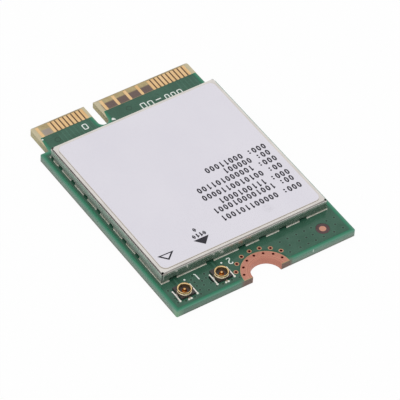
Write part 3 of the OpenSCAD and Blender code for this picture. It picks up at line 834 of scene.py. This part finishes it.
def printLegend():
    legend = bmesh.new()
    low, high = coats["pourTop"] - coats["sunk"], coats["inkTop"]
    line = legendSet["noughtLine"]
    outer, inner = legendSet["noughtCorners"]
    shapes = [(strip(*legendSet[figure]), []) for figure in ("one", "two")]
    shapes += [(circle(x, y, legendSet["dotRadius"], steps=16), []) for x, y in legendSet["dots"]]
    for x1, y1, x2, y2 in legendSet["noughts"]:
        hollow = rectangle(x1 + line, y1 + line, x2 - line, y2 - line, inner)
        shapes.append((rectangle(x1, y1, x2, y2, outer), [hollow]))
    shapes += [(rectangle(*legendSet["dash"]), []), (legendSet["fleck"], [])]
    for outline, holes in shapes:
        addSheet(legend, outline, holes, low, high)
    finishPiece("board_legend", legend, plainMaterial("legendInk", silkLook))


printLegend()

# underside: mask, ground plane with a window, contact traces and filled vias
underside = {
    "padRows": (9.0, 12.0),
    "padColumns": (-6.0, -3.0, 0.0, 3.0, 6.0),
    "padOpening": 0.57,
    "padClear": 0.78,
    "window": (-9.4, 15.2, 9.4, 25.2, 0.4),
    "contacts": [*range(2, 24, 2), *range(32, 76, 2)],
    # contact traces: where they start, bend and end, and how much each differs from the one beside it
    "traceStart": 27.5,
    "traceBend": (22.2, 0.12),
    "traceEnd": (16.2, 0.55),
    "staggers": 7,
    "staggerJump": 5,
    "lean": 0.32,
    "traceWidth": 0.12,
    "padTraceStart": 0.55,
    # bends of the pads' traces along the board, in the near row and in the far row
    "nearRowTrace": (10.4, 10.9),
    "farRowTrace": (15.0, 15.8),
    "padTraceShift": 0.5,
    "padTraceWidth": 0.14,
    "vias": (
        [(x * 1.6, y) for y in (5.2, 6.6) for x in range(-6, 7)]
        + [(side * 10.1, 4.2 + 2.1 * i) for side in (-1, 1) for i in range(10)]
        + [(side * (4.0 + 1.1 * i), 1.3 + 1.2 * j) for side in (-1, 1) for i in range(6) for j in range(2)]
    ),
}
testPads = [(x, y) for y in underside["padRows"] for x in underside["padColumns"]]


def coatUnderside():
    coat = bmesh.new()
    openings = viaOpenings() + [circle(x, y, underside["padOpening"], steps=28) for x, y in testPads]
    addSheet(coat, coatOutline(0.0, *coats["maskUnderEnd"]), openings, coats["maskUnder"], 0.0)
    finishPiece("solder_mask_under", coat, makeMaskGreen("solderMaskUnder"))

    pour = bmesh.new()
    openings = viaOpenings(coats["pourGap"])
    openings += [circle(x, y, underside["padClear"], steps=28) for x, y in testPads]
    openings.append(rectangle(*underside["window"]))
    base, tip = coats["pourUnder"], coats["maskUnder"] + coats["markSunk"]
    addSheet(pour, coatOutline(coats["pourInset"], *coats["pourUnderEnd"]), openings, base, tip)
    finishPiece("ground_plane_under", pour, pourGreen)

    lines = bmesh.new()
    firstBend, bendStep = underside["traceBend"]
    firstEnd, endStep = underside["traceEnd"]
    staggers, jump = underside["staggers"], underside["staggerJump"]
    for i, contact in enumerate(underside["contacts"]):
        x = contactX(contact)
        lean = -x * underside["lean"]
        bend = firstBend - bendStep * (i % staggers)
        end = firstEnd + endStep * (i * jump % staggers)
        path = [(x, underside["traceStart"]), (x, bend + abs(lean)), (x + lean, bend), (x + lean, end)]
        addSheet(lines, strip(path, underside["traceWidth"]), [], base, tip)
    for x, y in testPads:
        first, second = underside["nearRowTrace" if y == underside["padRows"][0] else "farRowTrace"]
        path = [(x, y + underside["padTraceStart"]), (x, first), (x + underside["padTraceShift"], second)]
        trace = strip(path, underside["padTraceWidth"])
        addSheet(lines, trace, [], coats["padTraceUnder"], coats["maskUnder"])
    finishPiece("traces_under", lines, traceGreen)


coatUnderside()
tentedVias("tented_vias_under", underside["vias"], coats["viaUnder"], coats["pourUnder"])
print("underside made")

# bare copper: where the pad steps down towards the screw, a painted bright line and a painted dark line,
# then a band and a darker rim
copperLook = {
    "dark": (186, 126, 107),
    "light": (204, 144, 125),
    "rough": (0.42, 0.58),
    "metal": 0.75,
    "fine": 18.0,
    "slow": 1.2,
    "bump": 0.5,
    "speckColour": (160, 96, 76),
    "speckScale": 2.4,
}
padSteps = {
    # radius, colour, how much of it
    "steps": (
        (2.16, (216, 156, 134), 0.6),
        (2.09, (160, 96, 80), 0.6),
        (2.02, (200, 138, 119), 0.85),
        (1.86, (182, 118, 100), 0.5),
    ),
    "soft": 0.04,
}


def makeBareCopper():
    material, tree, shader, spot = startMaterial("bareCopper", copperLook)
    # rings from outside in: a painted highlight, a painted shade, a band and a darker rim
    for reach, colour, show in padSteps["steps"]:
        step = disc(tree, spot, 0.0, 0.0, reach, padSteps["soft"])
        paintOver(tree, shader, step["Mask"], colour, show)
    for radius, first, last, count in (vias["inner"], vias["outer"]):
        places = {"Radius": radius, "First": first, "Step": (last - first) / (count - 1), "Last": count - 1}
        away = useGroup(tree, viaRingGroup, Position=spot, **places)["Distance"]
        shade = remap(tree, away, *vias["shade"])
        paintOver(tree, shader, shade, vias["shadeColour"], vias["shadeShow"])
    return material


dotLook = dict(copperLook, dark=(198, 142, 122), light=(214, 160, 138))
dress(makeBareCopper(), "mounting_pad", "ground_vias", "test_pads")
dress(plainMaterial("bareCopperDot", dotLook), "fiducial_dot")

# gold of the contacts, darker and more orange at their long edges
goldLook = {
    "dark": (218, 178, 124),
    "light": (234, 202, 156),
    "rough": (0.26, 0.4),
    "metal": 1.0,
    "fine": 16.0,
    "slow": 1.4,
    "stretch": (3, 0.5, 1),
    "bump": 0.4,
    "speckColour": (190, 150, 104),
    "speckScale": 3.0,
    "speckSize": 0.08,
}
contactEdges = ((206, 152, 96), 0.4, 0.11, 0.17)


def makeContactGold():
    material, tree, shader, spot = startMaterial("platedGold", goldLook)
    pitch = 2 * board["contactStep"]
    cell = maths(tree, "FRACT", maths(tree, "DIVIDE", axes(tree, spot)[0], pitch))
    aside = times(tree, maths(tree, "ABSOLUTE", maths(tree, "SUBTRACT", cell, 0.5)), pitch)
    paintFade(tree, shader, aside, contactEdges)
    return material


dress(makeContactGold(), "top_contacts", "bottom_contacts")

# solder joints of the can, with painted shade where they climb its feet
tinLook = {
    "dark": (206, 202, 182),
    "light": (244, 242, 230),
    "rough": (0.25, 0.45),
    "metal": 0.85,
    "fine": 6.0,
    "slow": 1.2,
    "bump": 0.3,
    "speckColour": (160, 154, 132),
    "speckScale": 3.0,
}
jointLook = dict(tinLook, dark=(214, 211, 192), light=(248, 246, 236), metal=0.65)
jointClimbShade = ((120, 128, 112), 0.45, 0.85, 0.9)


def makeJointSolder():
    material, tree, shader, spot = startMaterial("solder", jointLook)
    # painted shade, greyer and greener, where the solder climbs the can's feet
    paintFade(tree, shader, axes(tree, spot)[2], jointClimbShade)
    return material


dress(makeJointSolder(), "shield_solder")

# shield can: satin tinplate, darker towards its feet; painted light makes its walls lighter than the lid
canLook = {
    "dark": (207, 202, 197),
    "light": (223, 218, 213),
    "rough": (0.17, 0.26),
    "metal": 0.9,
    "fine": 14.0,
    "slow": 0.6,
    "bump": 0.12,
    "relief": 0.0015,
    "speckColour": (168, 162, 154),
    "speckScale": 2.5,
    "speckSize": 0.06,
}
canWalls = {
    "cutFeet": ((150, 150, 140), 0.3, 1.15, 0.85),
    "front": 4.06,
    "left": -9.98,
    "turn": 0.08,
    "paintedWallLight": (236, 234, 230),
    "paintedWallLightMetal": 0.66,
    "underBend": ((1.7, 1.86), (2.06, 1.99)),
    "leftTop": (1.91, 1.84),
    "leftFall": (0.9, 1.7, 0.5, 0.95),
}


def makeTinplate():
    material, tree, shader, spot = startMaterial("tinplate", canLook)
    across, along, height = axes(tree, spot)
    # darker towards the feet of the walls
    paintFade(tree, shader, height, canWalls["cutFeet"])
    # painted light: the walls are lighter and less metallic than the lid, most of all under the bend and on
    # the left
    front, left, turn = canWalls["front"], canWalls["left"], canWalls["turn"]
    underBend = [remap(tree, height, *span) for span in canWalls["underBend"]]
    frontLight = times(tree, *underBend, remap(tree, along, front + turn, front))
    leftFace = remap(tree, across, left + turn, left)
    leftTop, leftFall = canWalls["leftTop"], canWalls["leftFall"]
    leftLight = times(tree, leftFace, remap(tree, height, *leftTop), remap(tree, height, *leftFall))
    paintedWallLight = maths(tree, "MAXIMUM", frontLight, leftLight)
    paintOver(tree, shader, paintedWallLight, canWalls["paintedWallLight"])
    feed(tree, shader.inputs["Metallic"], mixValue(tree, paintedWallLight, canLook["metal"], canWalls["paintedWallLightMetal"]))
    return material


dress(makeTinplate(), "shield_can")

# label: matt white film with tan glue at its cut edge and a faint scuff
filmLook = {
    "dark": (218, 215, 224),
    "light": (222, 219, 227),
    "rough": (0.42, 0.55),
    "fine": 30.0,
    "slow": 0.2,
    "bump": 0.3,
    "relief": 0.003,
    "speckColour": (204, 201, 210),
    "speckScale": 1.6,
    "speckSize": 0.05,
}
inkLook = {
    "dark": (38, 36, 44),
    "light": (50, 48, 56),
    "rough": (0.5, 0.7),
    "fine": 24.0,
    "slow": 3.0,
    "bump": 0.4,
    "gloss": 0.25,
}
labelSet = {
    # middle x and y, half width and length, corner
    "film": (0.0, 14.7, 9.78, 10.23, 0.7),
    "glue": ((196, 184, 160), 0.7, 0.07, 0.0),
    "scuff": (4.21, 6.2, 0.35, 0.7),
    "scuffGrain": {"Stretch": (1.0, 2.2, 1.0), "Fine": 6.0, "Slow": 2.0},
    "scuffColour": (150, 146, 152),
    "scuffShow": 0.3,
    "printLow": 2.258,
    "printHigh": 2.264,
    # y of each row of print and where it ends
    "rows": (
        (7.35, -0.8),
        (8.6, -0.5),
        (9.56, 0.43),
        (10.75, -0.96),
        (11.9, -0.82),
        (12.95, 3.29),
        (13.95, 1.62),
    ),
    "rowStart": 9.1,
    "rowShift": 0.12,
    "figure": {"width": 0.43, "height": 0.8, "line": 0.155, "pitch": 0.585},
    "smallFigure": {"width": 0.36, "height": 0.56, "line": 0.16, "pitch": 0.42},
    "colonHalf": 0.17,
    # in widths of the line: a nought's corner, how far back a one's flag lies, a dot's radius
    "noughtCorner": 1.8,
    "flag": 1.5,
    "dot": 0.7,
    "smallRows": (("0110", -3.17, 6.7), ("0", -3.85, 7.53)),
    "hollowArrow": [(-9.34, 6.31), (-7.42, 6.23), (-8.49, 5.32)],
    "hollowShare": 0.6,
    "solidArrow": [(-4.95, 6.25), (-3.12, 6.23), (-4.09, 5.27)],
}


def makeFilm():
    material, tree, shader, spot = startMaterial("labelFilm", filmLook)
    paintFade(tree, shader, roundedField(tree, spot, *labelSet["film"])["Inside"], labelSet["glue"])
    scuff = disc(tree, spot, *labelSet["scuff"])["Mask"]
    rub = useGroup(tree, grainGroup, Position=spot, **labelSet["scuffGrain"])["Tone"]
    paintOver(tree, shader, times(tree, scuff, rub), labelSet["scuffColour"], labelSet["scuffShow"])
    return material


# rows of plain noughts and ones, read from the contact edge
def addFigures(bm, figures, x, y, size):
    low, high = labelSet["printLow"], labelSet["printHigh"]
    line, width = size["line"], size["width"]
    far, near = y - size["height"] / 2, y + size["height"] / 2
    for figure in figures:
        middle = x - width / 2
        if figure == "0":
            hollow = rectangle(x - width + line, far + line, x - line, near - line, line)
            nought = rectangle(x - width, far, x, near, line * labelSet["noughtCorner"])
            addSheet(bm, nought, [hollow], low, high)
        elif figure == "1":
            path = [(middle + line, far + line * labelSet["flag"]), (middle, far), (middle, near)]
            addSheet(bm, strip(path, line), [], low, high)
        elif figure == ":":
            for dot in (-labelSet["colonHalf"], labelSet["colonHalf"]):
                addSheet(bm, circle(middle, y + dot, line * labelSet["dot"], steps=12), [], low, high)
        x -= size["pitch"]


def printLabel():
    bm = bmesh.new()
    size = labelSet["figure"]
    random.seed(41)
    for row, (y, end) in enumerate(labelSet["rows"]):
        start = labelSet["rowStart"] - labelSet["rowShift"] * (row % 2)
        head = "0" * (3 - row % 2) + ": "
        count = int((start - end) / size["pitch"]) - len(head) + 1
        figures = "".join(random.choice("001") for i in range(count))
        addFigures(bm, head + figures, start, y, size)
    arrow = labelSet["hollowArrow"]
    middle = Vector((sum(x for x, y in arrow) / 3, sum(y for x, y in arrow) / 3))
    inner = [tuple(middle + (Vector(point) - middle) * labelSet["hollowShare"]) for point in arrow]
    addSheet(bm, arrow, [inner], labelSet["printLow"], labelSet["printHigh"])
    addSheet(bm, labelSet["solidArrow"], [], labelSet["printLow"], labelSet["printHigh"])
    for figures, x, y in labelSet["smallRows"]:
        addFigures(bm, figures, x, y, labelSet["smallFigure"])
    finishPiece("label_print", bm, plainMaterial("labelInk", inkLook))


dress(makeFilm(), "label")
printLabel()
print("label made")

# antenna sockets: black base, gold ring, tinned ground legs, gold pin
sockets = {
    "y": 1.93,
    "centres": {"1": -8.85, "2": -4.35},
    "ringReach": 0.8,
    "ringSoft": 0.06,
    "lipBottom": (1.27, 1.23),
    "neckReach": (0.64, 0.68),
    "neckHighlight": (255, 240, 208),
    "railTop": (0.9, 0.88),
    "rail": (238, 235, 228),
    "railShade": (70, 60, 50),
    "legMetal": 0.35,
    "pinTab": ((214, 210, 196), 1.0, 1.2, 1.15),
    # solder beads: a field as wide as the legs, and painted shade on the flanks outside it
    "beadMiddle": -0.07,
    "beadHalf": 0.7,
    "beadReach": 1.11,
    "flankWidth": 0.3,
    "flankCorner": 0.02,
    "flankSoft": 0.04,
    "paintedFlankShade": (60, 70, 58),
    "flankShow": 0.7,
    "flankShades": {"1": (44, 62, 52), "2": (8, 16, 13)},
    "shadeAside": (-0.9, -1.0),
    "shadeFar": (2.5, 2.4),
    "shadeNear": (1.4, 1.55),
    # painted shadow along the outer side of the left legs: path from the socket's centre, width
    "legShadow": {
        "1": ([(-1.2, -0.2), (-1.23, -0.42), (-1.2, -0.6)], 0.09),
        "2": ([(-1.2, 0.42), (-1.25, 0.3), (-1.27, 0.0), (-1.25, -0.3), (-1.2, -0.42)], 0.16),
    },
    # small flared foot where each pin comes out of the moulding: reach and rise of its rings
    "footBase": 1.035,
    "footProfile": ((0.3, 0.0), (0.27, 0.05), (0.2, 0.12), (0.15, 0.24)),
    "footSteps": 28,
}
plasticLook = {
    "dark": (36, 31, 32),
    "light": (62, 54, 53),
    "rough": (0.28, 0.42),
    "fine": 22.0,
    "slow": 2.0,
    "bump": 0.5,
    "speckColour": (84, 76, 70),
    "speckScale": 5.0,
}
ringLook = dict(
    goldLook,
    dark=(206, 170, 116),
    light=(238, 208, 152),
    rough=(0.2, 0.3),
    stretch=(1, 1, 1),
    bump=0.15,
)
pinLook = dict(ringLook, dark=(226, 182, 118), light=(250, 220, 162))
# the foot's darker gold is painted shade at the base of the pin
footShadeLook = dict(ringLook, dark=(124, 70, 30), light=(196, 128, 62))
beadLook = dict(tinLook, dark=(222, 220, 208), light=(250, 249, 242), metal=0.5)
legShadowLook = {"dark": (3, 10, 8), "light": (10, 22, 17), "rough": (0.5, 0.7), "slow": 2.0, "gloss": 0.04}


def makeShellGold(number, x):
    material, tree, shader, spot = startMaterial("socketShell" + number, ringLook)
    height = axes(tree, spot)[2]
    ring = disc(tree, spot, x, sockets["y"], sockets["ringReach"], sockets["ringSoft"])
    # painted highlight: the ring's outer wall is brighter in and below the snap groove
    neckHighlight = remap(tree, height, *sockets["lipBottom"])
    neckHighlight = times(tree, neckHighlight, remap(tree, ring["Distance"], *sockets["neckReach"]))
    paintOver(tree, shader, neckHighlight, sockets["neckHighlight"])
    # the legs: tinned rail near the board, with painted shade on the plate and web above it
    rail = remap(tree, height, *sockets["railTop"])
    leg = toned(tree, rail, sockets["railShade"], sockets["rail"])
    outside = maths(tree, "SUBTRACT", 1.0, ring["Mask"])
    paintOver(tree, shader, outside, leg)
    feed(tree, shader.inputs["Metallic"], mixValue(tree, outside, ringLook["metal"], sockets["legMetal"]))
    return material


def makeBeadSolder(number, x):
    material, tree, shader, spot = startMaterial("socketSolder" + number, beadLook)
    across, along = axes(tree, spot)[:2]
    middle = sockets["y"] + sockets["beadMiddle"]
    corner, soft = sockets["flankCorner"], sockets["flankSoft"]
    fields = []
    for reach in (sockets["beadReach"] + sockets["flankWidth"], sockets["beadReach"]):
        field = roundedField(tree, spot, x, middle, reach, sockets["beadHalf"], corner, soft)
        fields.append(field["Mask"])
    # painted shade on the solder outside the legs, darkest beside the left legs
    paintedFlankShade = maths(tree, "SUBTRACT", *fields, clamp=True)
    paintOver(tree, shader, paintedFlankShade, sockets["paintedFlankShade"], sockets["flankShow"])
    start, full = sockets["shadeAside"]
    shaded = remap(tree, across, x + start, x + full)
    shaded = times(tree, shaded, remap(tree, along, *sockets["shadeFar"]), paintedFlankShade)
    shaded = times(tree, shaded, remap(tree, along, *sockets["shadeNear"]))
    paintOver(tree, shader, shaded, sockets["flankShades"][number])
    feed(tree, shader.inputs["Metallic"], mixValue(tree, shaded, beadLook["metal"], 0.0))
    return material


def makePinGold():
    material, tree, shader, spot = startMaterial("pinGold", pinLook)
    paintFade(tree, shader, axes(tree, spot)[1], sockets["pinTab"])
    return material


def addPinFoot(number, x, material):
    bm = bmesh.new()
    steps = sockets["footSteps"]
    rings = []
    for reach, rise in sockets["footProfile"]:
        level = (sockets["footBase"] + rise) * mm
        outline = circle(x, sockets["y"], reach, steps)
        rings.append([bm.verts.new((px * mm, py * mm, level)) for px, py in outline])
    for lower, upper in zip(rings, rings[1:]):
        for i in range(steps):
            j = (i + 1) % steps
            bm.faces.new((lower[i], lower[j], upper[j], upper[i]))
    bm.faces.new(rings[-1])
    bm.faces.new(rings[0][::-1])
    finishPiece("antenna_socket_" + number + "_pin_foot", bm, material)


def addLegShadows():
    # a dark sheet of painted shadow beside each left leg
    bm = bmesh.new()
    for number, x in sockets["centres"].items():
        path, width = sockets["legShadow"][number]
        path = [(x + aside, sockets["y"] + along) for aside, along in path]
        addSheet(bm, strip(path, width), [], coats["pourTop"] - coats["markSunk"], coats["markTop"])
    finishPiece("leg_shadow_marks", bm, plainMaterial("paintedLegShadow", legShadowLook))


mouldedBase = plainMaterial("mouldedBase", plasticLook)
pinGold = makePinGold()
footShadeGold = plainMaterial("pinFootShade", footShadeLook)
for number, x in sockets["centres"].items():
    socket = "antenna_socket_" + number
    dress(makeShellGold(number, x), socket + "_shell")
    dress(makeBeadSolder(number, x), socket + "_solder")
    dress(mouldedBase, socket + "_housing")
    dress(pinGold, socket + "_pin")
    addPinFoot(number, x, footShadeGold)
addLegShadows()
print("sockets dressed")

# parts under the can
chipLook = {"rough": (0.4, 0.6), "fine": 16.0, "bump": 0.6}
terminalLook = dict(tinLook, fine=14.0)
chipFeet = ("radio_chip_pads", "inductor_terminals", "capacitor_terminals")
chipFeet += ("small_capacitor_terminals", "resistor_terminals")
# material: its look, its dark and light tone, the nodes that wear it
innerLooks = {
    "moulding": (chipLook, (30, 31, 33), (46, 47, 50), ("radio_chip", "memory_chip", "front_end_modules")),
    "crystalCeramic": (chipLook, (190, 180, 158), (212, 204, 184), ("crystal_base",)),
    "crystalMetal": (canLook, (176, 172, 166), (204, 200, 194), ("crystal_lid",)),
    "filterCeramic": (chipLook, (214, 212, 204), (234, 232, 226), ("diplexers",)),
    "ferrite": (chipLook, (70, 68, 70), (92, 90, 92), ("power_inductors",)),
    "capacitorCeramic": (chipLook, (132, 100, 72), (164, 128, 94), ("capacitors", "small_capacitors")),
    "resistorGlaze": (chipLook, (20, 21, 24), (34, 35, 40), ("resistors",)),
    "terminalTin": (terminalLook, tinLook["dark"], tinLook["light"], chipFeet),
}
for name, (look, dark, light, users) in innerLooks.items():
    dress(plainMaterial(name, dict(look, dark=dark, light=light)), *users)
print("inner parts dressed")

# studio: pale floor, even sky, one soft box overhead, and grey cards that only shiny things see
studio = {
    "sky": 0.62,
    "boxSize": 0.55,
    "boxPlace": (0.0, 0.012, 0.5),
    "boxPower": 1.25,
    "cardReach": 0.9,
    "cardRows": 10,
    "cardColumns": 14,
    # axis along the card, start and end along that axis, how near the middle its arcs come, grey
    "cards": (
        ("frontCard", "x", 0.08, 0.76, 0.34, 0.33),
        ("sideCard", "y", 0.22, 0.88, 0.62, 0.07),
    ),
    # a dark sheet that lies on the table to the left: left, near, right and far edge, grey
    "flatCard": (-900.0, -12.0, -12.9, 700.0, 0.07),
    "flatCardLevel": 0.03,
    "floorHalf": 1500,
    "floorDrop": 0.02,
    "floorGrey": 0.85,
    "floorGlow": 0.95,
    # the opening under the board, as a coat's outline
    "floorWell": (0.16, 29.6, 2.0, 0.1),
}


# 1 for what is seen straight, in a shiny surface or through a clear one
def seenRays(tree):
    path = tree.nodes.new("ShaderNodeLightPath").outputs
    seen = maths(tree, "ADD", path["Is Camera Ray"], path["Is Glossy Ray"])
    return maths(tree, "ADD", seen, path["Is Transmission Ray"], clamp=True)


def mixShaders(tree, factor, first, second):
    node = tree.nodes.new("ShaderNodeMixShader")
    for socket, value in zip(node.inputs, (factor, first.outputs[0], second.outputs[0])):
        feed(tree, socket, value)
    return node


def showSurface(tree, node, kind="ShaderNodeOutputMaterial"):
    tree.links.new(node.outputs[0], tree.nodes.new(kind).inputs["Surface"])


def makeSky():
    world = bpy.data.worlds.new("studioSky")
    scene.world = world
    world.use_nodes = True
    tree = world.node_tree
    tree.nodes.clear()
    soft, white = (addNode(tree, "ShaderNodeBackground") for i in range(2))
    for background in (soft, white):
        background.inputs["Color"].default_value = (1, 1, 1, 1)
    soft.inputs["Strength"].default_value = studio["sky"]
    showSurface(tree, mixShaders(tree, seenRays(tree), soft, white), "ShaderNodeOutputWorld")


def makeFloor():
    # open under the board, so that the underside is lit too
    bm = bmesh.new()
    reach = studio["floorHalf"]
    loops = [rectangle(-reach, -reach, reach, reach), coatOutline(*studio["floorWell"])]
    level = -studio["floorDrop"] * mm
    verts = [bm.verts.new((x * mm, y * mm, level)) for loop in loops for x, y in loop]
    for a, b, c in triangles(loops):
        face = bm.faces.new((verts[a], verts[b], verts[c]))
        face.normal_update()
        if face.normal.z < 0:
            face.normal_flip()
    material, tree = emptyMaterial("paleFloor")
    matt = addNode(tree, "ShaderNodeBsdfDiffuse")
    grey = studio["floorGrey"]
    matt.inputs["Color"].default_value = (grey, grey, grey, 1)
    glow = addNode(tree, "ShaderNodeEmission")
    clear = addNode(tree, "ShaderNodeBsdfTransparent")
    lit = mixShaders(tree, times(tree, seenRays(tree), studio["floorGlow"]), matt, glow)
    under = tree.nodes.new("ShaderNodeNewGeometry").outputs["Backfacing"]
    showSurface(tree, mixShaders(tree, under, lit, clear))
    material.cycles.emission_sampling = "NONE"
    floor = placeMesh("floor", bm, material)


def finishCard(name, bm, grey):
    material, tree = emptyMaterial(name)
    glow = addNode(tree, "ShaderNodeEmission")
    glow.inputs["Color"].default_value = (grey, grey, grey, 1)
    showSurface(tree, glow)
    material.cycles.emission_sampling = "NONE"
    card = placeMesh(name, bm, material)
    card.visible_camera = False
    card.visible_diffuse = False
    card.visible_shadow = False
    card.visible_transmission = False


def makeCard(name, axis, start, end, stop, grey):
    # part of a dome: arcs that rise from the table towards the top
    bm = bmesh.new()
    rows, columns = studio["cardRows"], studio["cardColumns"]
    grid = []
    for i in range(rows + 1):
        along = start + (end - start) * i / rows
        across = math.sqrt(1 - along * along)
        top = math.acos(min(1.0, stop / across))
        line = []
        for j in range(columns + 1):
            rise = top * j / columns
            away, up = -across * math.cos(rise), across * math.sin(rise)
            spot = Vector((along, away, up) if axis == "x" else (away, along, up))
            line.append(bm.verts.new(spot * studio["cardReach"]))
        grid.append(line)
    for i in range(rows):
        for j in range(columns):
            bm.faces.new((grid[i][j], grid[i + 1][j], grid[i + 1][j + 1], grid[i][j + 1]))
    finishCard(name, bm, grey)


def makeFlatCard():
    bm = bmesh.new()
    *sides, grey = studio["flatCard"]
    level = studio["flatCardLevel"] * mm
    bm.faces.new([bm.verts.new((x * mm, y * mm, level)) for x, y in rectangle(*sides)])
    finishCard("flatCard", bm, grey)


def makeSoftBox():
    data = bpy.data.lights.new("softBox", "AREA")
    data.shape = "SQUARE"
    data.size = studio["boxSize"]
    data.energy = studio["boxPower"]
    lamp = bpy.data.objects.new("softBox", data)
    lamp.location = studio["boxPlace"]
    lamp.visible_glossy = False
    scene.collection.objects.link(lamp)


makeSky()
makeFloor()
for card in studio["cards"]:
    makeCard(*card)
makeFlatCard()
makeSoftBox()
print("studio lit")
